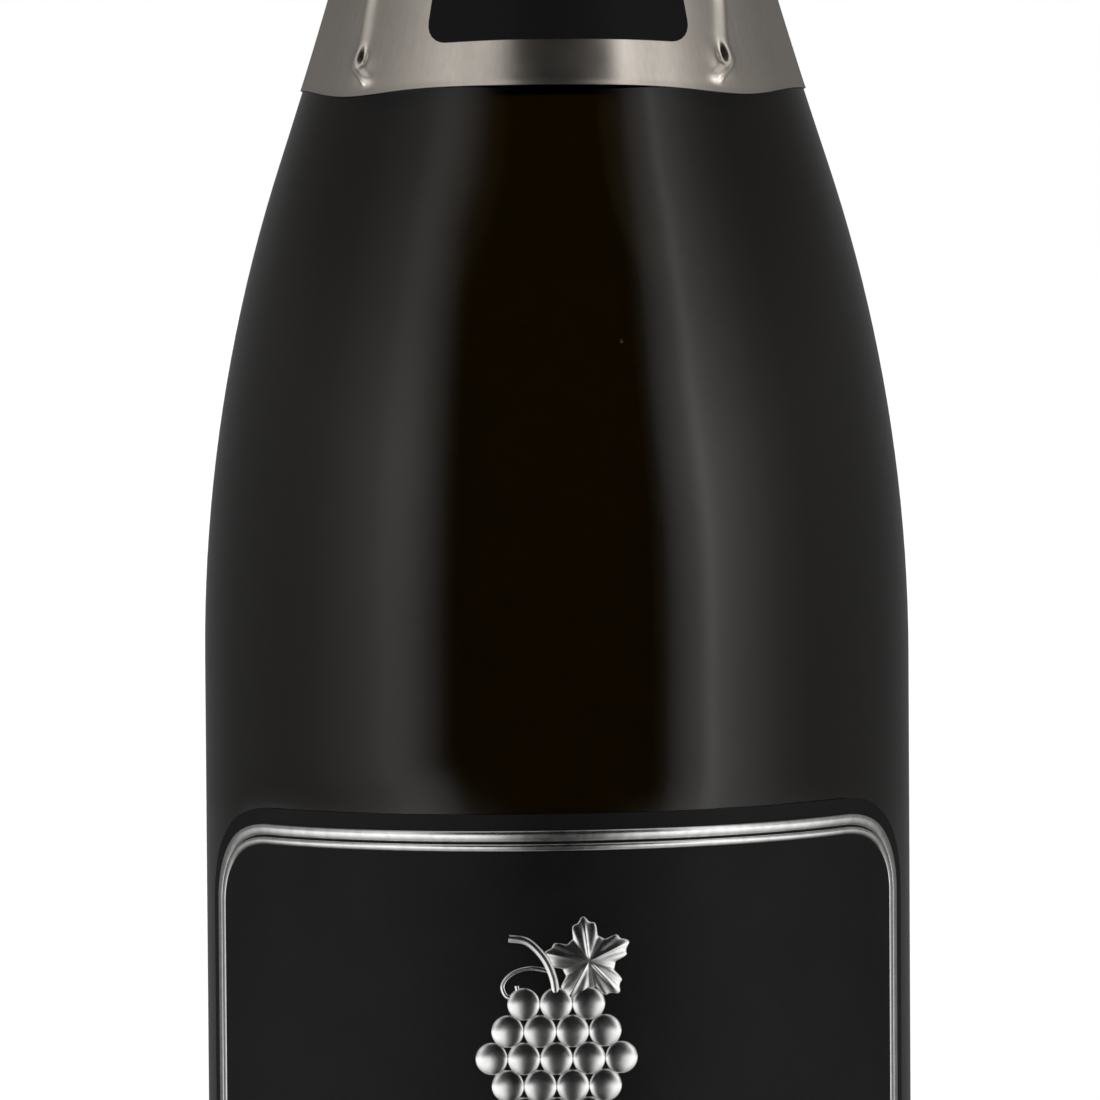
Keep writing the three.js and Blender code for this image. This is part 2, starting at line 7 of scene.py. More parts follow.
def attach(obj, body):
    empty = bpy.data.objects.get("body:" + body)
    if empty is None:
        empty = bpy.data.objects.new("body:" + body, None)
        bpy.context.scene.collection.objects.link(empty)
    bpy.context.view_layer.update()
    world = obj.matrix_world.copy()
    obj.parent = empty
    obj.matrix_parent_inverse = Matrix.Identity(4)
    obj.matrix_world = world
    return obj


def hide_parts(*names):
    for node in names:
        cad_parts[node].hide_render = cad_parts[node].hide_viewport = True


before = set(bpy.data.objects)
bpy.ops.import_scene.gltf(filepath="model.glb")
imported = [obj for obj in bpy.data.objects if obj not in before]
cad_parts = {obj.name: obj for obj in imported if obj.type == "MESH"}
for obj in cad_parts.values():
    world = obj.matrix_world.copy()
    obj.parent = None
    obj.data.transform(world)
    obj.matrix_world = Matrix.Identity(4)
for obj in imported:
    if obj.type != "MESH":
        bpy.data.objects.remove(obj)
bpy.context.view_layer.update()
mm = 0.001
print("frame loaded:", len(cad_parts), "nodes")


# Tools for colours and nodes
def linearColour(text):  # sRGB hex to linear
    parts = [int(text[k:k + 2], 16) / 255 for k in (1, 3, 5)]
    return [c / 12.92 if c <= 0.04045 else ((c + 0.055) / 1.055) ** 2.4 for c in parts] + [1]


def grey(value):
    return (value, value, value, 1)


def shades(*stops):  # places on a ramp with their sRGB hex colours
    return [(place, linearColour(text)) for place, text in stops]


def plugIn(tree, node, inputs):  # a socket takes a value, another socket or a node's first output
    for name, value in inputs.items():
        if isinstance(value, bpy.types.Node):
            value = value.outputs[0]
        if isinstance(value, bpy.types.NodeSocket):
            tree.links.new(value, node.inputs[name])
        else:
            node.inputs[name].default_value = value


def addNode(tree, kind, inputs=None, stops=None, **settings):  # stops are a ramp's places and colours
    node = tree.nodes.new("ShaderNode" + kind)
    for name, value in settings.items():
        setattr(node, name, value)
    if stops:
        line = node.color_ramp.elements
        while len(line) < len(stops):
            line.new(0.5)
        for stop, (place, colour) in zip(line, stops):
            stop.position, stop.color = place, colour
    plugIn(tree, node, inputs or {})
    return node


def newFinish(name):  # a material, its shader and the object's own coordinates
    finish = bpy.data.materials.new(name)
    finish.use_nodes = True
    tree = finish.node_tree
    spot = addNode(tree, "TexCoord").outputs["Object"]
    return finish, tree, tree.nodes["Principled BSDF"], spot


# Tools for lines and meshes, all in mm
def bent(a, b, c, steps):  # from a to c, pulled towards b
    def at(t, p, q, r):
        return (1 - t) ** 2 * p + 2 * t * (1 - t) * q + t * t * r
    return [tuple(at(k / steps, *three) for three in zip(a, b, c)) for k in range(steps + 1)]


def swept(a, b, c, d, steps):  # from a to d, leaving towards b and arriving from c
    def at(t, p, q, r, s):
        u = 1 - t
        return u ** 3 * p + 3 * u * u * t * q + 3 * u * t * t * r + t ** 3 * s
    return [tuple(at(k / steps, *four) for four in zip(a, b, c, d)) for k in range(steps + 1)]


def through(points, steps):  # a smooth line through all the points
    line = []
    ends = [points[0]] + points + [points[-1]]
    for a, b, c, d in zip(ends, ends[1:], ends[2:], ends[3:]):
        leave = tuple(q + (r - p) / 6 for p, q, r in zip(a, b, c))
        arrive = tuple(r - (s - q) / 6 for q, r, s in zip(b, c, d))
        line += swept(b, leave, arrive, c, steps)[:-1]
    return line + [points[-1]]


def eased(points, rounds):  # corners of a line taken off
    for _ in range(rounds):
        threes = zip(points, points[1:], points[2:])
        inner = [tuple((p + 2 * q + r) / 4 for p, q, r in zip(*three)) for three in threes]
        points = [points[0]] + inner + [points[-1]]
    return points


def fine(profile, pitch):  # extra points on the long runs of a profile
    line = [profile[0]]
    for here, there in zip(profile, profile[1:]):
        runs = max(1, math.ceil(math.dist(here, there) / pitch))
        line += [tuple(p + (q - p) * k / runs for p, q in zip(here, there)) for k in range(1, runs + 1)]
    return line


def smooth(low, high, value):  # 0 below low, 1 above high
    t = min(1, max(0, (value - low) / (high - low)))
    return t * t * (3 - 2 * t)


def hump(value, middle, width):  # 1 at the middle, gone at about two widths from it
    return math.exp(-((value - middle) / width) ** 2)


def around(angle, radius, height):  # a point by its angle from the front
    return Vector((radius * math.sin(angle), -radius * math.cos(angle), height))


def noiseSpot(angle, height):  # a place for noise that meets itself after a full turn
    return Vector((math.sin(angle) * 3, math.cos(angle) * 3, height))


def turnOf(corner):  # the angle from the front at which a point lies
    return math.atan2(corner.co.x, -corner.co.y)


def drawnLine(name, points):  # one point of a plane, drawn out along a line
    spots = [Vector(p) * mm for p in points]
    bpy.ops.object.select_all(action="DESELECT")
    bpy.ops.mesh.primitive_plane_add(size=mm)
    piece = bpy.context.object
    piece.name = piece.data.name = name
    bpy.ops.object.mode_set(mode="EDIT")
    bpy.ops.mesh.merge(type="CENTER")
    bpy.ops.transform.translate(value=spots[0])
    for here, there in zip(spots, spots[1:]):
        if (there - here).length > 1e-7:
            bpy.ops.mesh.extrude_region_move(TRANSFORM_OT_translate={"value": there - here})
    return piece


def closeSeams(piece, smoothAngle):  # from edit mode to a clean smooth mesh
    bpy.ops.mesh.select_all(action="SELECT")
    bpy.ops.mesh.remove_doubles(threshold=0.001 * mm)
    bpy.ops.mesh.normals_make_consistent(inside=False)
    bpy.ops.object.mode_set(mode="OBJECT")
    bpy.ops.object.shade_smooth_by_angle(angle=math.radians(smoothAngle))
    return piece


def turned(name, profile, sides, smoothAngle=40):  # radius and height, spun round the bottle's axis
    piece = drawnLine(name, [(r, 0, z) for r, z in profile])
    bpy.ops.mesh.select_all(action="SELECT")
    bpy.ops.mesh.spin(steps=sides, angle=2 * math.pi, center=(0, 0, 0), axis=(0, 0, 1))
    return closeSeams(piece, smoothAngle)


def bentWire(name, points, diameter):  # a round wire along a line
    piece = drawnLine(name, points)
    bpy.ops.object.mode_set(mode="OBJECT")
    bpy.ops.object.convert(target="CURVE")
    line = bpy.context.object.data
    line.bevel_depth, line.bevel_resolution, line.use_fill_caps = diameter / 2 * mm, 4, True
    bpy.ops.object.convert(target="MESH")
    piece = bpy.context.object
    piece.name = piece.data.name = name
    bpy.ops.object.mode_set(mode="EDIT")
    return closeSeams(piece, 60)


def pick(*pieces):  # these alone are selected, the first is active
    bpy.ops.object.select_all(action="DESELECT")
    for piece in pieces:
        piece.select_set(True)
    bpy.context.view_layer.objects.active = pieces[0]


def thicken(piece, sheet, smoothAngle=60):  # a skin becomes a sheet, outwards
    pick(piece)
    modifier = piece.modifiers.new("Solidify", "SOLIDIFY")
    modifier.thickness, modifier.offset = sheet * mm, 1
    bpy.ops.object.modifier_apply(modifier=modifier.name)
    bpy.ops.object.shade_smooth_by_angle(angle=math.radians(smoothAngle))


def copied(piece, change):  # a copy with its own mesh, moved or turned
    pick(piece)
    bpy.ops.object.duplicate()
    copy = bpy.context.object
    copy.data.transform(change)
    return copy


def joined(name, pieces):
    pick(*pieces)
    bpy.ops.object.join()
    whole = bpy.context.object
    whole.name = whole.data.name = name
    return whole


def flatOutline(name, points):  # a circle's points laid along an outline in XZ, its face to the front
    bpy.ops.object.select_all(action="DESELECT")
    bpy.ops.mesh.primitive_circle_add(vertices=len(points), radius=mm, fill_type="NGON")
    piece = bpy.context.object
    piece.name = piece.data.name = name
    for corner, (x, z) in zip(piece.data.vertices, points):
        corner.co = (x * mm, 0, z * mm)
    piece.data.update()
    wrongWay = piece.data.polygons[0].normal.y > 0
    bpy.ops.object.mode_set(mode="EDIT")
    bpy.ops.mesh.select_all(action="SELECT")
    if wrongWay:
        bpy.ops.mesh.flip_normals()
    return piece


def roundedOutline(halfWidth, low, high, roundWidth, roundHeight, pitch):  # anticlockwise
    points = []
    corners = [(1, -1, -90), (1, 1, 0), (-1, 1, 90), (-1, -1, 180)]
    cornerSteps = max(4, round(math.pi / 2 * max(roundWidth, roundHeight) / pitch * 1.5))
    for sideways, upwards, start in corners:
        midX = sideways * (halfWidth - roundWidth)
        midZ = high - roundHeight if upwards > 0 else low + roundHeight
        arc = [math.radians(start + 90 * k / cornerSteps) for k in range(cornerSteps + 1)]
        points += [(midX + roundWidth * math.cos(a), midZ + roundHeight * math.sin(a)) for a in arc]
    return fine(points + points[:1], pitch)[:-1]


def cutStrips(halfWidth, pitch):  # upright cuts, so that a flat piece can bend round the bottle
    count = int(halfWidth / pitch)
    for k in range(-count, count + 1):
        bpy.ops.mesh.select_all(action="SELECT")
        bpy.ops.mesh.bisect(plane_co=(k * pitch * mm, 0, 0), plane_no=(1, 0, 0))
    bpy.ops.object.mode_set(mode="OBJECT")


def wrapRound(piece, arcRadius, radiusAt, turn=0, tilt=0):  # width becomes arc, depth becomes radius
    for corner in piece.data.vertices:
        x, y, z = corner.co / mm
        angle = x / arcRadius + math.radians(turn)
        corner.co = around(angle, radiusAt(z) - y, z + tilt * x) * mm
    piece.data.update()


def raisedLine(name, outline, width, relief, outerEdge, steps=10, foot=0.03):  # round, made by insets
    piece = flatOutline(name, outline)
    turns = [math.pi * k / steps for k in range(steps + 1)]
    across = [(1 - math.cos(turn)) / 2 for turn in turns]
    lean = [outerEdge * (1 - share) * smooth(0, foot, share) for share in across]
    rise = [relief * math.sin(turn) + more for turn, more in zip(turns, lean)]
    for k in range(steps):
        inwards, upwards = (across[k + 1] - across[k]) * width, rise[k + 1] - rise[k]
        bpy.ops.mesh.inset(thickness=inwards * mm, depth=upwards * mm)
    bpy.ops.mesh.delete(type="FACE")
    bpy.ops.mesh.select_all(action="DESELECT")
    bpy.ops.mesh.select_mode(type="EDGE")
    bpy.ops.mesh.select_non_manifold()
    bpy.ops.mesh.bridge_edge_loops()
    bpy.ops.mesh.select_mode(type="VERT")
    return closeSeams(piece, 60)


def roughen(piece, depth, size):  # an uneven skin, with lumps of a size
    for corner in piece.data.vertices:
        corner.co += corner.normal * depth * mm * noise.noise(corner.co / (size * mm))
    piece.data.update()


def settle(piece, finish, body, slot, *nodes):  # finish, body, slot (not used) and the nodes that it stands for
    piece.data.materials.clear()
    piece.data.materials.append(finish)
    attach(piece, body)
    if nodes:
        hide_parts(*nodes)


# Finishes
def darkGlassFinish():
    # Bottle glass, blown in an iron mould and fire polished: nearly black, brown where light comes
    # through, with clear reflections that ripple slowly and here and there a seed.
    finish, tree, shader, spot = newFinish("darkBottleGlass")
    ripple = addNode(tree, "TexNoise", {"Vector": spot, "Scale": 1 / (24 * mm), "Detail": 1})
    slow = addNode(tree, "Bump", {"Height": ripple, "Distance": 0.09 * mm})
    cells = addNode(tree, "TexVoronoi", {"Vector": spot, "Scale": 1 / (9 * mm)})
    seed = addNode(tree, "MapRange", {
        "Value": cells, "From Min": 0.012, "From Max": 0.03, "To Min": 1, "To Max": 0})
    lot = addNode(tree, "SeparateColor", {"Color": cells.outputs["Color"]})
    some = addNode(tree, "Math", {0: lot, 1: 0.72}, operation="GREATER_THAN")
    seeds = addNode(tree, "Math", {0: seed, 1: some}, operation="MULTIPLY")
    skin = addNode(tree, "Bump", {"Height": seeds, "Distance": 0.08 * mm, "Normal": slow})
    plugIn(tree, shader, {
        "Base Color": linearColour("#cdbfae"), "Transmission Weight": 1, "IOR": 1.52, "Roughness": 0.03,
        "Normal": skin})
    depth = addNode(tree, "VolumeAbsorption", {"Color": linearColour("#b5ae3a"), "Density": 900})
    plugIn(tree, tree.nodes["Material Output"], {"Volume": depth})
    return finish


def foilFinish():
    # Capsule foil, a rolled aluminium laminate with warm grey lacquer: satin, with soft wide
    # highlights, faint upright rolling lines and a slightly uneven skin.
    finish, tree, shader, spot = newFinish("greyCapsuleFoil")
    drawn = addNode(tree, "Mapping", {"Vector": spot, "Scale": (1, 1, 0.04)})
    lines = addNode(tree, "TexNoise", {"Vector": drawn, "Scale": 1 / (0.5 * mm), "Detail": 3})
    tone = addNode(tree, "ValToRGB", {"Fac": lines}, shades((0.3, "#f2e8dc"), (0.7, "#f7eee3")))
    cloud = addNode(tree, "TexNoise", {"Vector": spot, "Scale": 1 / (7 * mm)})
    rough = addNode(tree, "MapRange", {
        "Value": cloud, "From Min": 0.3, "From Max": 0.7, "To Min": 0.21, "To Max": 0.26})
    skin = addNode(tree, "Bump", {"Height": lines, "Distance": 0.003 * mm})
    plugIn(tree, shader, {"Base Color": tone, "Metallic": 1, "Roughness": rough, "Normal": skin})
    return finish


def lacquerFinish():
    # Black ink printed on the foil: an even dark coat with a low satin sheen and a fine print grain.
    finish, tree, shader, spot = newFinish("blackPrintedLacquer")
    grain = addNode(tree, "TexNoise", {"Vector": spot, "Scale": 1 / (0.3 * mm)})
    tone = addNode(tree, "ValToRGB", {"Fac": grain}, shades((0.3, "#0a0a0a"), (0.7, "#0e0d0d")))
    skin = addNode(tree, "Bump", {"Height": grain, "Distance": 0.004 * mm})
    plugIn(tree, shader, {"Base Color": tone, "Roughness": 0.5, "Specular IOR Level": 0.15, "Normal": skin})
    return finish


def labelFinish():
    # Label paper with a matt black coating: dark, with a wide weak sheen and short paper fibres.
    finish, tree, shader, spot = newFinish("mattBlackLabelPaper")
    fibre = addNode(tree, "TexNoise", {"Vector": spot, "Scale": 1 / (0.35 * mm), "Detail": 4})
    cloud = addNode(tree, "TexNoise", {"Vector": spot, "Scale": 1 / (9 * mm)})
    both = addNode(tree, "Math", {0: fibre, 1: cloud}, operation="ADD")
    half = addNode(tree, "Math", {0: both, 1: 0.5}, operation="MULTIPLY")
    tone = addNode(tree, "ValToRGB", {"Fac": half}, shades((0.35, "#0a0a0b"), (0.65, "#101011")))
    skin = addNode(tree, "Bump", {"Height": fibre, "Distance": 0.006 * mm})
    plugIn(tree, shader, {"Base Color": tone, "Roughness": 0.42, "Specular IOR Level": 0.13, "Normal": skin})
    return finish


def silverFinish():
    # Hot-stamped silver foil on embossed paper: bright metal, nearly a mirror, a little uneven.
    finish, tree, shader, spot = newFinish("stampedSilverFoil")
    uneven = addNode(tree, "TexNoise", {"Vector": spot, "Scale": 1 / (1.2 * mm), "Detail": 1})
    tone = addNode(tree, "ValToRGB", {"Fac": uneven}, shades((0.3, "#dededc"), (0.7, "#efefed")))
    rough = addNode(tree, "MapRange", {"Value": uneven, "To Min": 0.19, "To Max": 0.29})
    skin = addNode(tree, "Bump", {"Height": uneven, "Distance": 0.003 * mm})
    plugIn(tree, shader, {"Base Color": tone, "Metallic": 1, "Roughness": rough, "Normal": skin})
    return finish


def grainCorkFinish():
    # Agglomerated cork: pressed granules of bark in many browns, with dark seams between them.
    finish, tree, shader, spot = newFinish("pressedCorkGrain")
    size = {"Vector": spot, "Scale": 1 / (2.2 * mm)}
    cells = addNode(tree, "TexVoronoi", size)
    lot = addNode(tree, "SeparateColor", {"Color": cells.outputs["Color"]})
    seams = addNode(tree, "TexVoronoi", size, feature="DISTANCE_TO_EDGE")
    browns = shades((0, "#96693f"), (0.35, "#bc8f5f"), (0.75, "#cfa878"), (1, "#dcbb90"))
    tone = addNode(tree, "ValToRGB", {"Fac": lot}, browns)
    edge = addNode(tree, "MapRange", {"Value": seams, "From Max": 0.07})
    dark = linearColour("#7a5230")
    colour = addNode(tree, "Mix", {0: edge, 6: dark, 7: tone}, data_type="RGBA")
    pits = addNode(tree, "TexNoise", {"Vector": spot, "Scale": 1 / (0.4 * mm), "Detail": 3})
    pressed = addNode(tree, "Bump", {"Height": edge, "Distance": 0.1 * mm})
    skin = addNode(tree, "Bump", {"Height": pits, "Distance": 0.05 * mm, "Normal": pressed})
    plugIn(tree, shader, {
        "Base Color": colour.outputs[2], "Roughness": 0.85, "Specular IOR Level": 0.2, "Normal": skin})
    return finish


def naturalCorkFinish():
    # Natural cork cut across the bark: pale brown growth layers, with dark pores that run across them.
    finish, tree, shader, spot = newFinish("naturalCork")
    along = addNode(tree, "Mapping", {"Vector": spot, "Scale": (0.25, 1, 0.25)})
    layers = addNode(tree, "TexNoise", {"Vector": along, "Scale": 1 / (1.4 * mm), "Detail": 3})
    browns = shades((0.3, "#b98a58"), (0.5, "#cda574"), (0.72, "#dab98c"))
    tone = addNode(tree, "ValToRGB", {"Fac": layers}, browns)
    across = addNode(tree, "Mapping", {"Vector": spot, "Scale": (1, 0.3, 1)})
    gaps = addNode(tree, "TexNoise", {"Vector": across, "Scale": 1 / (1.1 * mm)})
    pores = addNode(tree, "MapRange", {"Value": gaps, "From Min": 0.62, "From Max": 0.68})
    dark = linearColour("#6f4a2b")
    colour = addNode(tree, "Mix", {0: pores, 6: tone, 7: dark}, data_type="RGBA")
    skin = addNode(tree, "Bump", {"Height": pores, "Distance": -0.12 * mm})
    plugIn(tree, shader, {
        "Base Color": colour.outputs[2], "Roughness": 0.8, "Specular IOR Level": 0.2, "Normal": skin})
    return finish


def tinFinish():
    # Tinplate with a baked grey lacquer: smooth and glossy, with a faint orange-peel skin.
    finish, tree, shader, spot = newFinish("lacqueredTinplate")
    peel = addNode(tree, "TexNoise", {"Vector": spot, "Scale": 1 / (0.9 * mm)})
    tone = addNode(tree, "ValToRGB", {"Fac": peel}, shades((0.3, "#383736"), (0.7, "#403f3d")))
    skin = addNode(tree, "Bump", {"Height": peel, "Distance": 0.006 * mm})
    plugIn(tree, shader, {
        "Base Color": tone, "Metallic": 0.6, "Roughness": 0.28, "Coat Weight": 0.5, "Normal": skin})
    return finish


def steelFinish():
    # Galvanised steel wire, drawn and annealed: grey metal with a dull shine and a clouded zinc skin.
    finish, tree, shader, spot = newFinish("galvanisedWire")
    cloud = addNode(tree, "TexNoise", {"Vector": spot, "Scale": 1 / (1.5 * mm), "Detail": 4})
    tone = addNode(tree, "ValToRGB", {"Fac": cloud}, shades((0.3, "#a9a7a2"), (0.7, "#c4c2bd")))
    rough = addNode(tree, "MapRange", {
        "Value": cloud, "From Min": 0.3, "From Max": 0.7, "To Min": 0.26, "To Max": 0.4})
    grit = addNode(tree, "TexNoise", {"Vector": spot, "Scale": 1 / (0.25 * mm)})
    skin = addNode(tree, "Bump", {"Height": grit, "Distance": 0.01 * mm})
    plugIn(tree, shader, {"Base Color": tone, "Metallic": 1, "Roughness": rough, "Normal": skin})
    return finish


darkGlass = darkGlassFinish()
greyFoil = foilFinish()
blackLacquer = lacquerFinish()
blackPaper = labelFinish()
stampedSilver = silverFinish()
grainCork = grainCorkFinish()
naturalCork = naturalCorkFinish()
lacqueredTin = tinFinish()
steelWire = steelFinish()
print("finishes made")


# Glass bottle
glass = dict(
    bodyRadius=44.25, height=300, shoulderStart=104, shoulderRadius=198, shoulderTurn=18.2,
    neckRadius=13.5, leaveNeck=51, reachNeck=40, wall=4.7, boreRadius=9, boreLength=30,
    ringInner=31, ringOuter=35, heel=11, puntDepth=33, puntCrown=9.3, puntFlank=6.2, puntFlankHeight=20.5,
    puntGlass=8, footGlass=9, lipRadius=14.3, lipHeight=7, lipRound=1.6, grooveRadius=13.4, grooveHeight=4,
    finishRadius=16.4, finishHeight=8, finishRound=1.8, mouthRound=1, sides=144)


def roundedBand(radius, low, high, edge, steps=5):
    inner = radius - edge
    return (bent((inner, low), (radius, low), (radius, low + edge), steps)
            + bent((radius, high - edge), (radius, high), (inner, high), steps))


def glassOutside(g):
    lipUnder = g["height"] - g["lipHeight"]
    finishTop = lipUnder - g["grooveHeight"]
    finishUnder = finishTop - g["finishHeight"]
    turn = math.radians(g["shoulderTurn"])
    heel = bent((g["ringOuter"], 0), (g["bodyRadius"], 0), (g["bodyRadius"], g["heel"]), 10)
    middle, low, bow = g["bodyRadius"] - g["shoulderRadius"], g["shoulderStart"], g["shoulderRadius"]
    arc = [turn * k / 20 for k in range(21)]
    shoulder = [(middle + bow * math.cos(a), low + bow * math.sin(a)) for a in arc]
    start = shoulder.pop()
    leave = (start[0] - g["leaveNeck"] * math.sin(turn), start[1] + g["leaveNeck"] * math.cos(turn))
    arrive = (g["neckRadius"], finishUnder - g["reachNeck"])
    neck = swept(start, leave, arrive, (g["neckRadius"], finishUnder), 36)
    ring = roundedBand(g["finishRadius"], finishUnder, finishTop, g["finishRound"])
    groove = [(g["grooveRadius"], finishTop), (g["grooveRadius"], lipUnder)]
    lip = roundedBand(g["lipRadius"], lipUnder, g["height"], g["lipRound"])
    return heel + shoulder + neck + ring + groove + lip


outside = glassOutside(glass)


def glassRadius(z):
    for (r0, z0), (r1, z1) in zip(outside, outside[1:]):
        if z0 <= z <= z1 and z1 > z0:
            return r0 + (r1 - r0) * (z - z0) / (z1 - z0)
    return outside[0][0]


def makeBottle(g):
    boreEnd = g["height"] - g["boreLength"]
    boreWall = glassRadius(boreEnd) - g["boreRadius"]
    cavityRadius = g["bodyRadius"] - g["wall"]
    middleRing = (g["ringInner"] + g["ringOuter"]) / 2
    punt = swept((0, g["puntDepth"]), (g["puntCrown"], g["puntDepth"]),
                 (g["ringInner"] - g["puntFlank"], g["puntFlankHeight"]), (g["ringInner"], 0), 20)
    mouth = bent((g["boreRadius"] + g["mouthRound"], g["height"]), (g["boreRadius"], g["height"]),
                 (g["boreRadius"], g["height"] - g["mouthRound"]), 5)
    cavity = []
    for r, z in outside:
        if g["shoulderStart"] <= z < boreEnd:
            share = (z - g["shoulderStart"]) / (boreEnd - g["shoulderStart"])
            cavity.append((r - g["wall"] - (boreWall - g["wall"]) * share, z))
    innerHeel = bent((cavityRadius, g["footGlass"] + g["heel"]), (cavityRadius, g["footGlass"]),
                     (middleRing, g["footGlass"]), 8)
    innerTop = g["puntDepth"] + g["puntGlass"]
    innerPunt = swept((middleRing, g["footGlass"]), (middleRing - g["puntFlank"], g["puntFlankHeight"]),
                      (g["puntCrown"] + g["puntGlass"] / 2, innerTop), (0, innerTop), 16)
    inside = [(g["boreRadius"], boreEnd)] + cavity[::-1] + innerHeel + innerPunt[1:]
    bottle = turned("glassBottle", punt + outside + mouth + inside, g["sides"], 50)
    settle(bottle, darkGlass, "bottle", "dark_glass", "glass_bottle")


makeBottle(glass)
print("bottle turned")


# Foil on the neck: angles in degrees, and the pleat's places in mm from its line and above the edge
skirt = dict(
    edge=174.87, top=270.2, bridge=266.4, hoodBottom=276.4, hoodRadius=19.8, gap=0.08, foil=0.17, turn=-2.7,
    bulge=0.56, bulgeAt=1.2, flatLeft=7, flatRight=10.3, bulgeFlank=14.5, bulgeTop=192, bulgeEnd=212,
    pleatAngle=49.7, pleatDrop=1.07, dropSpan=17, lip=0.025, lipSpan=0.4, uneven=0.02, unevenSize=9,
    skew=0.43, drawIn=1.2, drawFrom=4.5, drawTo=13, ridge=0.6, flank=1.05, back=0.45, ridgeFrom=0.8,
    ridgeFull=2.2, ridgeEnd=40, bend=0.35, bendAt=4.5, bendSpan=1.25, turnIn=2.1, turnFrom=1.3, turnTo=4.1,
    swelling=dict(height=0.4, aside=-0.6, width=1.6, above=3.9, span=1.9),
    dimple=dict(height=0.8, aside=-0.92, width=0.5, above=4.6, span=0.95),
    crowding=0.72, rowsAtEdge=0.2, tube=30, columns=400, rows=96)


def foilRadius(z):  # inside of the foil: on the glass, then out to the hood
    seat = glassRadius(min(z, skirt["bridge"])) + skirt["gap"]
    if z <= skirt["bridge"]:
        return seat
    share = (z - skirt["bridge"]) / (skirt["hoodBottom"] - skirt["bridge"])
    return seat + (skirt["hoodRadius"] - seat) * share


def frontRise(angle, z):  # the foil stands off the glass a little at the front
    s = skirt
    fromMiddle = math.degrees(angle) - s["bulgeAt"]
    flat = s["flatRight"] if fromMiddle > 0 else s["flatLeft"]
    aside = 1 - smooth(flat, flat + s["bulgeFlank"], abs(fromMiddle))
    return s["bulge"] * aside * (1 - smooth(s["bulgeTop"], s["bulgeEnd"], z))


def mound(m, aside, above):
    return m["height"] * hump(aside, m["aside"], m["width"]) * hump(above, m["above"], m["span"])


def pleatRise(out, above):  # the pressed fold: a ridge that bends out round a dimple, then in below it
    s = skirt
    inwards = s["turnIn"] * (1 - smooth(s["turnFrom"], s["turnTo"], above))
    fromRidge = out - s["bend"] * hump(above, s["bendAt"], s["bendSpan"]) + inwards
    width = s["back"] if fromRidge > 0 else s["flank"]
    ridge = s["ridge"] * hump(fromRidge, 0, width) * smooth(s["ridgeFrom"], s["ridgeFull"], above)
    return max(0, ridge + mound(s["swelling"], out, above) - mound(s["dimple"], out, above))


def makeSkirt(s):
    piece = turned("foilSkirt", [(s["tube"], k) for k in range(s["rows"] + 1)], s["columns"], 60)
    shift = math.radians(s["pleatAngle"] - 45)
    for corner in piece.data.vertices:
        even = turnOf(corner)
        column = even + s["crowding"] * math.sin(4 * even) / 4  # columns crowd at the pleats
        angle = column + shift * math.sin(2 * column)
        fromPleat = (column % (math.pi / 2)) - math.pi / 4
        share = corner.co.z / mm / s["rows"]
        share = share * (s["rowsAtEdge"] + (1 - s["rowsAtEdge"]) * share)  # rows are closer near the edge
        edge = s["edge"] - s["pleatDrop"] * hump(math.degrees(fromPleat), 0, s["dropSpan"])
        z = edge + (s["top"] - edge) * share
        seat = foilRadius(z)
        outwards = seat * fromPleat * (1 if math.sin(2 * column) > 0 else -1)
        draw = s["drawIn"] + s["skew"] * (1 if angle > 0 else -1)
        outwards += draw * (1 - smooth(s["drawFrom"], s["drawTo"], z - edge))
        spot = noiseSpot(angle, z / s["unevenSize"])
        radius = seat + pleatRise(outwards, z - edge) * smooth(0, s["ridgeEnd"], s["top"] - z)
        radius += s["uneven"] * (1 + noise.noise(spot))
        angle += math.radians(s["turn"])
        radius += frontRise(angle, z) + s["lip"] * hump(z, edge, s["lipSpan"])
        corner.co = around(angle, radius, z) * mm
    piece.data.update()
    thicken(piece, s["foil"])
    settle(piece, greyFoil, "bottle", "capsule_foil", "foil_skirt")


makeSkirt(skirt)
print("foil skirt pleated")


# Dark panel printed on the foil
panel = dict(width=34, low=180.05, high=190.1, corner=2.7, arch=0.45, lift=0.02, coat=0.1, turn=1.5, pitch=1)


def makePanel(p):
    outline = roundedOutline(p["width"] / 2, p["low"], p["high"], p["corner"], p["corner"], p["pitch"])
    piece = flatOutline("capsulePanel", outline)
    cutStrips(p["width"] / 2, p["pitch"])
    for corner in piece.data.vertices:
        x, _, z = corner.co / mm
        share = 1 - (2 * x / p["width"]) ** 2
        low = 1 - smooth(p["low"], p["high"], z)
        corner.co.y -= frontRise(x / foilRadius(p["low"]) + math.radians(p["turn"]), z) * mm
        corner.co.z += p["arch"] * share * low * mm
    wrapRound(piece, foilRadius(p["low"]), lambda z: foilRadius(z) + skirt["foil"] + p["lift"], p["turn"])
    thicken(piece, p["coat"], 40)
    settle(piece, blackLacquer, "bottle", "panel_lacquer", "capsule_panel")


makePanel(panel)
print("panel laid on the foil")


# Tear strip with its scored edges, and the tab at its end
strip = dict(low=270.4, high=276.2, foil=0.2, bead=0.22, beadAt=0.55, beadWidth=0.28, nicks=150,
             nickDepth=0.35, nickEdge=4, uneven=0.03, unevenSize=4, rows=40, columns=600)
tab = dict(halfWidth=4.5, low=271.3, high=275.5, corner=2, seat=0.5, foil=0.2, turn=-60, ribs=3, ribFrom=1.6,
           ribGap=1.0, ribWidth=0.25, ribHeight=0.18, ribEnd=0.3, ribFull=0.9, curl=0.5, curlLength=2.4,
           edgePitch=0.4, pitch=0.25)


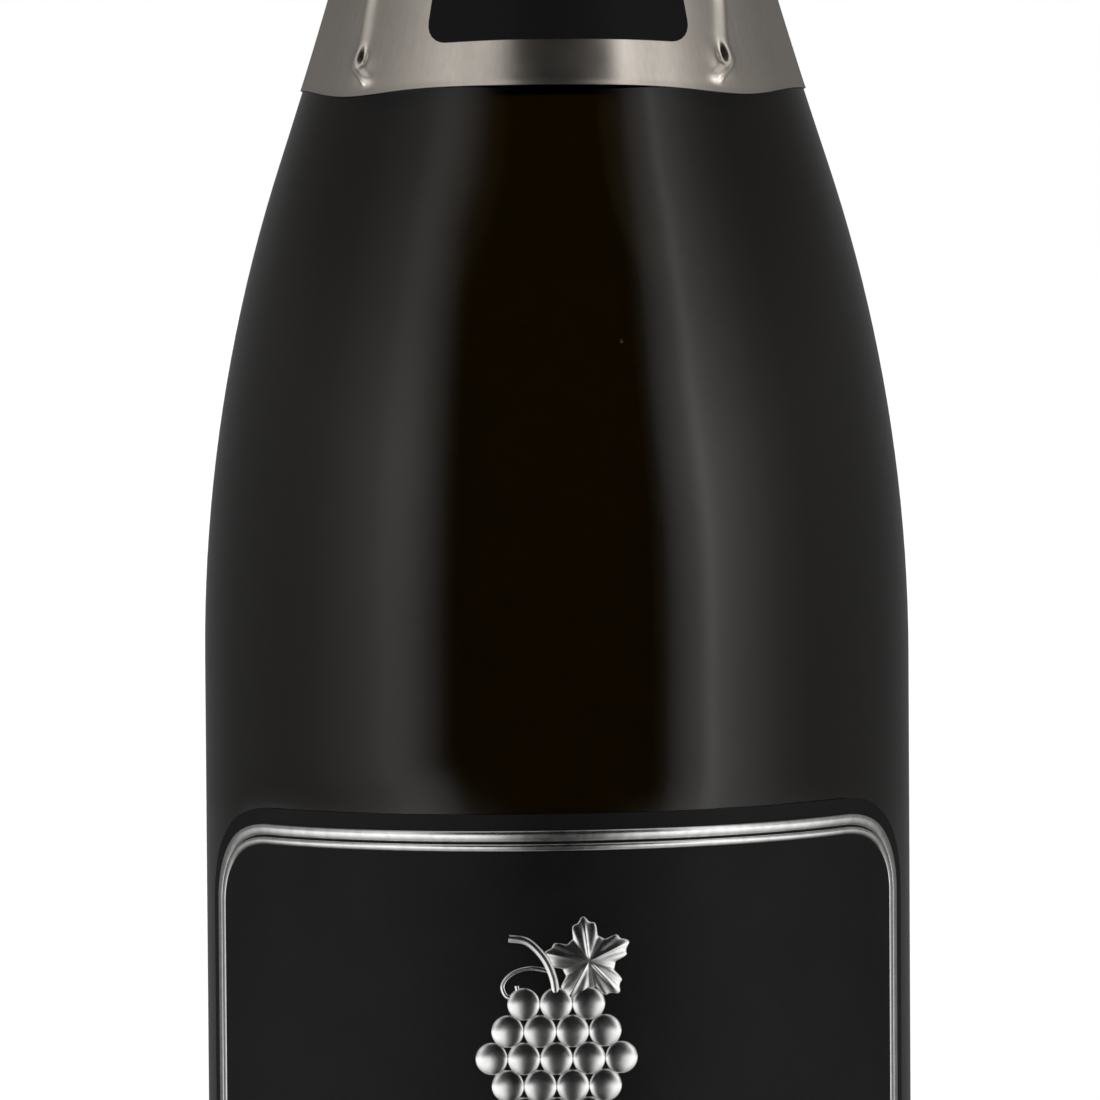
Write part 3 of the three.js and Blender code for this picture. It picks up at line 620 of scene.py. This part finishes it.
def makeStrip(s):
    rows = [s["low"] + (s["high"] - s["low"]) * k / s["rows"] for k in range(s["rows"] + 1)]
    piece = turned("tearStrip", [(foilRadius(z), z) for z in rows], s["columns"], 60)
    for corner in piece.data.vertices:
        angle, z = turnOf(corner), corner.co.z / mm
        beads = (hump(z, s["low"] + s["beadAt"], s["beadWidth"])
                 + hump(z, s["high"] - s["beadAt"], s["beadWidth"]))
        nick = 1 - s["nickDepth"] * (1 - math.tanh(s["nickEdge"] * math.sin(s["nicks"] * angle)))
        out = s["bead"] * beads * nick + s["uneven"] * noise.noise(corner.co / (s["unevenSize"] * mm))
        corner.co += around(angle, 1, 0) * max(0, out) * mm
    piece.data.update()
    thicken(piece, s["foil"])
    settle(piece, greyFoil, "bottle", "capsule_foil", "tear_strip")


def makeTab(t):
    outline = roundedOutline(t["halfWidth"], t["low"], t["high"], t["corner"], t["corner"], t["edgePitch"])
    piece = flatOutline("tearTab", outline)
    cutStrips(t["halfWidth"], t["pitch"])
    for corner in piece.data.vertices:
        x, _, z = corner.co / mm
        fromTip = x + t["halfWidth"]
        ribs = sum(hump(fromTip, t["ribFrom"] + k * t["ribGap"], t["ribWidth"]) for k in range(t["ribs"]))
        inside = (smooth(t["ribEnd"], t["ribFull"], z - t["low"])
                  * smooth(t["ribEnd"], t["ribFull"], t["high"] - z))
        curl = t["curl"] * (1 - smooth(0, t["curlLength"], fromTip))
        corner.co.y -= (t["ribHeight"] * ribs * inside + curl) * mm
    middle = foilRadius((t["low"] + t["high"]) / 2)
    wrapRound(piece, middle, lambda z: foilRadius(z) + t["seat"], t["turn"])
    thicken(piece, t["foil"])
    settle(piece, greyFoil, "tab", "capsule_foil", "tear_tab")


makeStrip(strip)
makeTab(tab)
print("tear strip and tab made")


# Hood of the capsule and its round top
hood = dict(
    radius=19.8, low=276.4, high=321.5, round=7, ledge=2.4, foil=0.2, waistAt=300, waist=0.4, waistWidth=4,
    legRib=0.3, legWidth=2.2, crease=0.28, creaseSize=7, smallCrease=0.5, smallShare=2.3, creaseLevel=0.25,
    plainEdge=3, plainTop=0.5, creasedTop=9, sidePitch=0.7, ledgePitch=0.6, columns=240)
top = dict(radius=12.8, under=321.85, rim=0.32, rimFoot=0.1, rimRound=0.5, foot=0.2, ring=10.4, ringOut=0.7,
           ringIn=0.4, groove=0.18, grooveAt=0.2, crown=322.5, crownEdge=1.6, pitch=1.2, sides=128)


def makeHood(h):
    shoulder = h["high"] - h["round"]
    ledge = h["radius"] - h["round"]
    side = fine([(h["radius"], h["low"]), (h["radius"], shoulder)], h["sidePitch"])
    over = bent((h["radius"], shoulder), (h["radius"], h["high"]), (ledge, h["high"]), 20)
    profile = side + over[1:] + fine([over[-1], (ledge - h["ledge"], h["high"])], h["ledgePitch"])[1:]
    piece = turned("foilHood", profile, h["columns"], 60)
    for corner in piece.data.vertices:
        angle, z = turnOf(corner), corner.co.z / mm
        flank = smooth(0, h["plainEdge"], z - h["low"])
        flank *= smooth(h["plainTop"], h["creasedTop"], h["high"] - z)
        fromLeg = h["radius"] * ((angle % (math.pi / 2)) - math.pi / 4)
        press = h["legRib"] * hump(fromLeg, 0, h["legWidth"])
        press -= h["waist"] * hump(z, h["waistAt"], h["waistWidth"])
        spot = noiseSpot(angle, z / h["creaseSize"])
        small = h["smallCrease"] * abs(noise.noise(spot * h["smallShare"]))
        crease = h["crease"] * (abs(noise.noise(spot)) + small - h["creaseLevel"])
        corner.co += around(angle, 1, 0) * (press + crease) * flank * mm
    piece.data.update()
    thicken(piece, h["foil"])
    settle(piece, greyFoil, "hood", "capsule_foil", "foil_hood")


def makeTop(t):
    edge, ring, radius = t["under"] + t["rim"], t["ring"], t["radius"]
    rim = bent((radius, t["under"] + t["rimFoot"]), (radius, edge), (radius - t["rimRound"], edge), 6)
    flat = [(ring + 2 * t["ringOut"], edge)]
    groove = bent((ring + t["ringOut"], edge), (ring + t["grooveAt"], edge - t["groove"]),
                  (ring - t["ringIn"], edge), 8)
    crown = bent(groove[-1], (ring - t["crownEdge"], t["crown"]), (0, t["crown"]), 16)
    foot = [(0, t["under"]), (radius - t["foot"], t["under"])]
    piece = turned("hoodDisc", fine(foot + rim + flat + groove + crown[1:], t["pitch"]), t["sides"])
    settle(piece, greyFoil, "hood", "capsule_foil", "hood_disc")


makeHood(hood)
makeTop(top)
print("hood made")


# Cork
cork = dict(
    shank=8.85, head=15.2, headRound=2.6, under=300.3, collar=0.7, mouthRound=1, lipInner=12.7, top=317.6,
    bottom=287.4, discHeight=5.6, discEdge=0.7, pitch=0.8, lump=0.16, lumpSize=2.2, pit=0.05, pitSize=0.8,
    sides=120,
    discs=[("corkDiscUpper", "cork_disc_upper", 281.7, 0), ("corkDiscLower", "cork_disc_lower", 276, 0.7)])


def makeCork(c):
    head, under, edge = c["head"], c["under"], c["headRound"]
    belly = bent((head - edge / 2, under + edge / 4), (head, under + edge / 2), (head, under + edge * 2), 6)
    crown = bent((head, c["top"] - edge), (head, c["top"]), (head - edge, c["top"]), 8)
    profile = [(0, c["bottom"]), (c["shank"], c["bottom"]), (c["shank"], under - c["mouthRound"]),
               (c["shank"] + c["collar"], under), (c["lipInner"], under)] + belly + crown + [(0, c["top"])]
    body = turned("corkBody", fine(profile, c["pitch"]), c["sides"], 70)
    roughen(body, c["lump"], c["lumpSize"])
    settle(body, grainCork, "cork", "cork_grain", "cork_body")
    for name, node, low, chamfer in c["discs"]:
        high = low + c["discHeight"]
        profile = [(0, low), (c["shank"] - chamfer, low), (c["shank"], low + c["discEdge"]),
                   (c["shank"], high), (0, high)]
        disc = turned(name, fine(profile, c["pitch"]), c["sides"], 30)
        roughen(disc, c["pit"], c["pitSize"])
        settle(disc, naturalCork, "cork", "cork_natural", node)


makeCork(cork)
print("cork made")


# Cap plate on the cork
plate = dict(under=317.9, sheet=0.4, radius=13.5, flat=3, dome=1.3, bead=0.25, beadAt=0.6, beadWidth=0.4,
             sides=128)


def makePlate(p):
    dome, crown, half = p["radius"] - p["flat"], p["under"] + p["dome"], p["sheet"] / 2
    under = bent((0, crown), (dome, crown), (dome, p["under"]), 20)
    over = [(r, z + p["sheet"] + p["bead"] * hump(r, dome * p["beadAt"], p["beadWidth"]))
            for r, z in reversed(under)]
    arc = [math.pi * k / 8 for k in range(9)]
    rim = [(p["radius"] + half * math.sin(a) - half, p["under"] + half * (1 - math.cos(a))) for a in arc]
    piece = turned("cagePlate", under + rim + over, p["sides"])
    settle(piece, lacqueredTin, "cage", "plate_tin", "cage_plate")


makePlate(plate)
print("cap plate made")


# Wire cage: four twisted legs with eyes, the belt through the eyes, and its eyelet
cage = dict(
    wire=0.94, strand=0.47, ringRadius=12, ringHeight=319.1, ringFrom=4, ringSweep=41.5, turns=5,
    eyeRadius=1.3, eyeAt=15.6, eyeFrom=30, eyeSweep=290, beltHeight=278.9, spanRadius=14.6,
    leg=[(16.87, 280.17), (17.7, 282.8), (17.7, 287.2), (17.1, 293), (16.5, 305.87), (16.5, 315),
         (15, 319.5), (14.25, 319.9), (12, 319.1)],
    stubSpread=0.75, stubEnd=16.4, stubTurn=15.75, stubFoot=0.5, stubFlare=0.25, stubBend=1.45,
    stemAt=17.7, stemLow=278.1, stemHigh=284.9, stemTurns=2, stemPitch=0.25, loopHeight=8.5, loopWidth=7.2,
    loopLean=1.4, loopSpread=1.1, loopSteps=80, loopFrom=3, pitch=0.3)


def strands(path, turns, offset):  # two wires twisted round a path of radius and height
    lengths = [0]
    for here, there in zip(path, path[1:]):
        lengths.append(lengths[-1] + math.dist(here, there))
    pair = ([], [])
    for k, (r, z) in enumerate(path):
        before, after = path[max(0, k - 1)], path[min(len(path) - 1, k + 1)]
        run = math.dist(before, after)
        out = ((after[1] - before[1]) / run, (before[0] - after[0]) / run)
        turn = math.pi / 2 + 2 * math.pi * turns * lengths[k] / lengths[-1]
        for strand, side in zip(pair, (1, -1)):
            reach = side * offset * math.cos(turn)
            strand.append((r + reach * out[0], side * offset * math.sin(turn), z + reach * out[1]))
    return pair


def makeCage(c):
    first, second = strands(fine(through(c["leg"], 12), c["pitch"]), c["turns"], c["strand"])
    eye = []
    for k in range(41):
        turn = math.radians(c["eyeFrom"] - c["eyeSweep"] * k / 40)
        out, up = c["eyeRadius"] * math.cos(turn), c["eyeRadius"] * math.sin(turn)
        eye.append((c["eyeAt"] + out, c["strand"] * (1 - k / 20), c["beltHeight"] + up))
    arc = [math.radians(c["ringFrom"] + c["ringSweep"] * k / 20) for k in range(21)]
    ringLeft = [(c["ringRadius"] * math.cos(a), c["ringRadius"] * math.sin(a), c["ringHeight"]) for a in arc]
    ringRight = [(x, -y, z) for x, y, z in ringLeft]
    line = eased(ringLeft[::-1] + first[::-1] + eye + second + ringRight, 3)
    leg = bentWire("cageLeg", line, c["wire"])
    leg.data.transform(Matrix.Rotation(math.radians(45), 4, "Z"))
    legs = [leg] + [copied(leg, Matrix.Rotation(math.pi / 2 * k, 4, "Z")) for k in (1, 2, 3)]
    whole = joined("cageWire", legs)
    settle(whole, steelWire, "cage", "cage_steel", "cage_wire")


def makeBelt(c):
    span, spread = c["spanRadius"], c["stubSpread"]
    stub = [(c["stubEnd"], spread), (c["stubTurn"], spread), (span + c["stubFoot"], spread + c["stubFlare"])]
    opening = math.asin((spread + c["stubBend"]) / span)
    aroundNeck = []
    for k in range(129):
        angle = opening + 2 * (math.pi - opening) * k / 128
        atEye = ((1 - math.cos(4 * angle)) / 2) ** 2
        radius = span + (c["eyeAt"] - span) * atEye
        aroundNeck.append((radius * math.cos(angle), radius * math.sin(angle)))
    otherStub = fine([(x, -y) for x, y in reversed(stub)], c["pitch"])
    line = fine(stub, c["pitch"]) + aroundNeck + otherStub
    belt = bentWire("beltWire", eased([(x, y, c["beltHeight"]) for x, y in line], 3), c["wire"])
    settle(belt, steelWire, "cage", "cage_steel", "belt_wire")


def makeEyelet(c):
    stem = fine([(c["stemAt"], c["stemLow"]), (c["stemAt"], c["stemHigh"])], c["stemPitch"])
    first, second = strands(stem, c["stemTurns"], c["strand"])
    loop = []
    for k in range(c["loopFrom"], c["loopSteps"] - c["loopFrom"] + 1):
        turn = 2 * math.pi * k / c["loopSteps"]
        rise = (1 - math.cos(turn)) / 2
        spread = (1 - rise) * math.cos(turn / 2) * c["loopSpread"] / 2
        loop.append((c["stemAt"] - c["loopLean"] * rise, spread + c["loopWidth"] / 2 * math.sin(turn),
                     c["stemHigh"] - c["wire"] / 2 + c["loopHeight"] * rise))
    eyelet = bentWire("eyeletLoop", eased(first + loop + second[::-1], 3), c["wire"])
    settle(eyelet, steelWire, "eyelet", "cage_steel", "eyelet_loop")


makeCage(cage)
makeBelt(cage)
makeEyelet(cage)
print("wire cage made")


# Front label, its raised silver border and an embossed bunch of grapes
label = dict(
    low=19.8, high=87.3, margin=1.9, seat=44.4, paper=0.2, halfWidth=54.4, cornerWidth=14.2,
    cornerHeight=10.4, outerLine=1.4, groove=0.22, innerLine=0.95, relief=0.31, lean=0.6, sunk=0.02,
    sideDrop=0.7, sideFrom=46, sideTo=52, turn=-0.5, tilt=0.0096, pitch=1.5)
grapes = dict(
    berry=2.0, relief=0.5, pitch=3.9, drop=3.3, rows=[3, 4, 5, 4, 3, 2, 1], top=64.5, sunk=0.01,
    leafMiddle=(3.9, 69.6), leafSize=5.4, leafTurn=25, leafRelief=0.4, leafCore=0.56, lobes=5,
    lobe=0.4, lobeCurve=1.4, teeth=20, tooth=0.04, vein=0.12, veinWidth=0.09, veinStart=(0.02, 0.1),
    veinEnd=(0.7, 0.95), stemWidth=1.1, tendrilWidth=0.6, flatten=0.7,
    stem=[(0, 65), (-0.3, 67.5), (-1.4, 70), (-3.4, 72), (-5.6, 72.4)],
    tendril=[(-0.6, 68.4), (-3, 68.8), (-5.2, 68.2), (-6.4, 66.8), (-5.9, 65.4), (-4.7, 65.6), (-4.7, 66.7)])


def labelOutline(l, inset):
    edge = l["margin"] + inset
    return roundedOutline(l["halfWidth"] - inset, l["low"] + edge, l["high"] - edge,
                          l["cornerWidth"] - inset, l["cornerHeight"] - inset, l["pitch"])


def makeLabel(l):
    piece = flatOutline("frontLabel", labelOutline(l, -l["margin"]))
    cutStrips(l["halfWidth"] + l["margin"], l["pitch"])
    wrapRound(piece, glass["bodyRadius"], lambda z: l["seat"], l["turn"], l["tilt"])
    thicken(piece, l["paper"], 40)
    settle(piece, blackPaper, "bottle", "label_paper", "front_label")


def makeBorder(l):
    lines = [("borderOuter", "label_border_outer", 0, l["outerLine"]),
             ("borderInner", "label_border_inner", l["outerLine"] + l["groove"], l["innerLine"])]
    face = l["seat"] + l["paper"] - l["sunk"]
    for name, node, inset, width in lines:
        line = raisedLine(name, labelOutline(l, inset), width, l["relief"], l["relief"] * l["lean"])
        for corner in line.data.vertices:  # flatter along the upright sides
            corner.co.y *= 1 - l["sideDrop"] * smooth(l["sideFrom"], l["sideTo"], abs(corner.co.x) / mm)
        wrapRound(line, glass["bodyRadius"], lambda z: face, l["turn"], l["tilt"])
        settle(line, stampedSilver, "bottle", "border_silver", node)


def makeDome(name, radius, relief, segments):  # half of a flattened ball, its flat side on the label
    bpy.ops.object.select_all(action="DESELECT")
    bpy.ops.mesh.primitive_uv_sphere_add(segments=segments, ring_count=20, radius=radius * mm)
    dome = bpy.context.object
    dome.name = dome.data.name = name
    dome.data.transform(Matrix.Rotation(math.pi / 2, 4, "X"))
    bpy.ops.object.mode_set(mode="EDIT")
    bpy.ops.mesh.select_all(action="SELECT")
    bpy.ops.mesh.bisect(plane_co=(0, 0, 0), plane_no=(0, 1, 0), use_fill=True, clear_outer=True)
    closeSeams(dome, 60)
    dome.data.transform(Matrix.Scale(relief / radius, 4, (0, 1, 0)))
    return dome


def makeBerries(g):
    berry = makeDome("berry", g["berry"], g["relief"], 32)
    places = []
    for k, count in enumerate(g["rows"]):
        places += [((n - (count - 1) / 2) * g["pitch"], g["top"] - k * g["drop"]) for n in range(count)]
    berries = [copied(berry, Matrix.Translation((x * mm, 0, z * mm))) for x, z in places[1:]]
    berry.data.transform(Matrix.Translation((places[0][0] * mm, 0, places[0][1] * mm)))
    return [berry] + berries


def makeLeaf(g):  # a dome drawn out to five toothed lobes, with a vein along each
    leaf = makeDome("leaf", g["leafSize"], g["leafRelief"], 180)
    for corner in leaf.data.vertices:
        x, y, z = corner.co / mm
        turn, share = math.atan2(z, x), math.hypot(x, z) / g["leafSize"]
        inLobe = g["lobes"] / 2 * turn
        reach = g["leafCore"] + g["lobe"] * abs(math.cos(inLobe)) ** g["lobeCurve"]
        reach += g["tooth"] * math.cos(g["teeth"] * turn)
        vein = hump(math.sin(inLobe) * share, 0, g["veinWidth"])
        vein *= smooth(*g["veinStart"], share) * (1 - smooth(*g["veinEnd"], share))
        corner.co = Vector((x * reach, y - g["vein"] * vein, z * reach)) * mm
    leaf.data.transform(Matrix.Rotation(math.radians(-g["leafTurn"]), 4, "Y"))
    leaf.data.transform(Matrix.Translation((g["leafMiddle"][0] * mm, 0, g["leafMiddle"][1] * mm)))
    return leaf


def makeGrapes(g, l):
    lines = []
    for name, width in [("stem", g["stemWidth"]), ("tendril", g["tendrilWidth"])]:
        lines.append(bentWire(name, [(x, 0, z) for x, z in through(g[name], 10)], width))
        lines[-1].data.transform(Matrix.Scale(g["flatten"], 4, (0, 1, 0)))
    whole = joined("labelGrapes", makeBerries(g) + [makeLeaf(g)] + lines)
    face = l["seat"] + l["paper"] - g["sunk"]
    wrapRound(whole, glass["bodyRadius"], lambda z: face, l["turn"], l["tilt"])
    bpy.ops.object.shade_smooth_by_angle(angle=math.radians(60))
    settle(whole, stampedSilver, "bottle", "border_silver")


makeLabel(label)
makeBorder(label)
makeGrapes(grapes, label)
print("label, border and grapes laid on")


# Camera
view = dict(distance=914, height=156.7, aimX=-0.77, aimZ=117.1, roll=-0.383, lens=237.9, sensor=36)


def setCamera(v):
    eye = Vector((v["aimX"], -v["distance"], v["height"])) * mm
    aim = Vector((v["aimX"], 0, v["aimZ"])) * mm
    data = bpy.data.cameras.new("camera")
    data.lens, data.sensor_width = v["lens"], v["sensor"]
    data.clip_start, data.clip_end = 0.01, 50
    camera = bpy.data.objects.new("camera", data)
    bpy.context.scene.collection.objects.link(camera)
    turn = (aim - eye).to_track_quat("-Z", "Y").to_matrix().to_4x4()
    camera.matrix_world = Matrix.Translation(eye) @ turn @ Matrix.Rotation(math.radians(v["roll"]), 4, "Z")
    bpy.context.scene.camera = camera


setCamera(view)


# Studio tent, which only reflections see: brightness by degrees from the front, heights in metres
tent = dict(
    radius=0.65, middle=0.15,
    around=[(-180, 0.1), (-126, 0.155), (-95, 0.25), (-83, 0.32), (-72, 0.46), (-63, 0.6), (-55, 0.84),
            (-49, 0.8), (-42.5, 0.5), (-39.5, 0.33), (-35, 0.08), (-32, 0.01), (0, 0.006), (30, 0.01),
            (33.5, 0.09), (37, 0.4), (45, 0.92), (49.5, 1.5), (52.5, 1.2), (57, 0.95), (66, 0.64),
            (76, 0.39), (88, 0.27), (126, 0.15), (180, 0.1)],
    wide=[(-180, 0.1), (-126, 0.155), (-108, 0.55), (-92, 1.1), (-60, 1.5), (-24, 1.4), (-13, 0.1), (0, 0.03),
          (14, 0.08), (30, 1.4), (60, 1.5), (84, 1.2), (104, 0.55), (126, 0.15), (180, 0.1)],
    leanLeft=[(0.0413, 8), (0.0428, 6), (0.049, 0), (0.46, 0), (0.538, 6), (0.62, 24)],
    leanRight=[(0.0413, 2), (0.0428, 0.5), (0.0448, 0), (0.2, 0), (0.32, 2.2), (0.475, 2.4), (0.538, 2.5),
               (0.62, 24)],
    fade=[(0.05, 0.95), (0.12, 1), (0.26, 1.12), (0.32, 1), (0.38, 0.85), (0.47, 0.71), (0.54, 0.62)],
    wideFade=[(-0.35, 0.3), (-0.12, 0.85), (0, 1), (0.05, 1), (0.6, 0.35)],
    ends=[(0.0362, 1), (0.0385, 0), (0.6, 0), (0.68, 1)])


def tentFinish(t):
    finish, tree, shader, spot = newFinish("studioTent")
    tree.nodes.remove(shader)
    ahead = addNode(tree, "Mapping", {"Vector": spot, "Rotation": (0, 0, math.pi / 2)})
    radial = addNode(tree, "TexGradient", {"Vector": ahead}, gradient_type="RADIAL")
    turn = radial.outputs["Fac"]  # 0 to 1 from behind, by the left and the front
    height = addNode(tree, "SeparateXYZ", {"Vector": spot}).outputs["Z"]
    rise = addNode(tree, "MapRange", {
        "Value": height, "From Min": -t["radius"], "From Max": t["radius"]})

    def heights(stops, unit=1):  # a unit of 360 makes degrees shares of a turn
        return [((z - t["middle"]) / t["radius"] / 2 + 0.5, grey(value / unit)) for z, value in stops]

    def turns(stops):
        return [(degrees / 360 + 0.5, grey(value)) for degrees, value in stops]

    toLeft = addNode(tree, "ValToRGB", {"Fac": rise}, heights(t["leanLeft"], 360))
    toRight = addNode(tree, "ValToRGB", {"Fac": rise}, heights(t["leanRight"], 360))
    left = addNode(tree, "Math", {0: turn, 1: toLeft}, operation="SUBTRACT")
    right = addNode(tree, "Math", {0: turn, 1: toRight}, operation="ADD")
    onRight = addNode(tree, "Math", {0: turn, 1: 0.5}, operation="GREATER_THAN")
    place = addNode(tree, "Mix", {0: onRight, 6: left, 7: right}, data_type="RGBA").outputs[2]
    bands = addNode(tree, "ValToRGB", {"Fac": place}, turns(t["around"]))
    fade = addNode(tree, "ValToRGB", {"Fac": rise}, heights(t["fade"]))
    faded = addNode(tree, "Math", {0: fade, 1: bands}, operation="MULTIPLY")
    wide = addNode(tree, "ValToRGB", {"Fac": turn}, turns(t["wide"]))
    wideFade = addNode(tree, "ValToRGB", {"Fac": rise}, heights(t["wideFade"]))
    broad = addNode(tree, "Math", {0: wideFade, 1: wide}, operation="MULTIPLY")
    ends = addNode(tree, "ValToRGB", {"Fac": rise}, heights(t["ends"]))
    glow = addNode(tree, "Mix", {0: ends, 6: faded, 7: broad}, data_type="RGBA").outputs[2]
    lamp = addNode(tree, "Emission", {"Color": glow})
    plugIn(tree, tree.nodes["Material Output"], {"Surface": lamp})
    return finish


def makeTent(t):
    bpy.ops.object.select_all(action="DESELECT")
    bpy.ops.mesh.primitive_uv_sphere_add(segments=96, ring_count=48, radius=t["radius"],
                                         location=(0, 0, t["middle"]))
    piece = bpy.context.object
    piece.name = "studioTent"
    piece.data.materials.append(tentFinish(t))
    piece.visible_camera = piece.visible_diffuse = piece.visible_transmission = False
    piece.visible_shadow = piece.visible_volume_scatter = False


makeTent(tent)


# Lamps, floor and world
lamps = [dict(name="lampLeft", azimuth=-45, elevation=42, light=1.1, spread=35),
         dict(name="lampRight", azimuth=45, elevation=42, light=1.3, spread=35)]
floorLook = dict(size=40, under=-0.0002, shade=0.8, rough=0.9, glow=0.25)
skyLight = 0.5


def makeLamp(l):
    turn = (math.radians(90 - l["elevation"]), 0, math.radians(l["azimuth"]))
    bpy.ops.object.light_add(type="SUN", location=(0, 0, 2), rotation=turn)
    lamp = bpy.context.object
    lamp.name = l["name"]
    lamp.data.energy, lamp.data.angle = l["light"], math.radians(l["spread"])
    lamp.visible_glossy = False


def whiteRays(tree):  # 1 for rays that see the white background straight, mirrored or through glass
    path = addNode(tree, "LightPath").outputs
    direct = {0: path["Is Camera Ray"], 1: path["Is Glossy Ray"]}
    seen = addNode(tree, "Math", direct, operation="MAXIMUM")
    return addNode(tree, "Math", {0: seen, 1: path["Is Transmission Ray"]}, operation="MAXIMUM")


def makeFloor(f):
    bpy.ops.object.select_all(action="DESELECT")
    bpy.ops.mesh.primitive_plane_add(size=f["size"], location=(0, 0, f["under"]))
    floor = bpy.context.object
    floor.name = "floor"
    finish, tree, shader, _ = newFinish("paleFloor")
    glow = addNode(tree, "Math", {0: whiteRays(tree), 1: f["glow"]}, operation="MULTIPLY")
    plugIn(tree, shader, {
        "Base Color": grey(f["shade"]), "Roughness": f["rough"], "Specular IOR Level": 0,
        "Emission Color": grey(1), "Emission Strength": glow})
    floor.data.materials.append(finish)
    floor.visible_glossy = False


def setWorld(light):  # white where it is seen, dimmer as a lamp
    world = bpy.data.worlds.new("studio")
    bpy.context.scene.world = world
    world.use_nodes = True
    tree = world.node_tree
    level = addNode(tree, "MapRange", {"Value": whiteRays(tree), "To Min": light, "To Max": 1})
    plugIn(tree, tree.nodes["Background"], {"Color": grey(1), "Strength": level})


for lamp in lamps:
    makeLamp(lamp)
makeFloor(floorLook)
setWorld(skyLight)
bpy.context.scene.view_settings.view_transform = "Standard"
print("studio set")
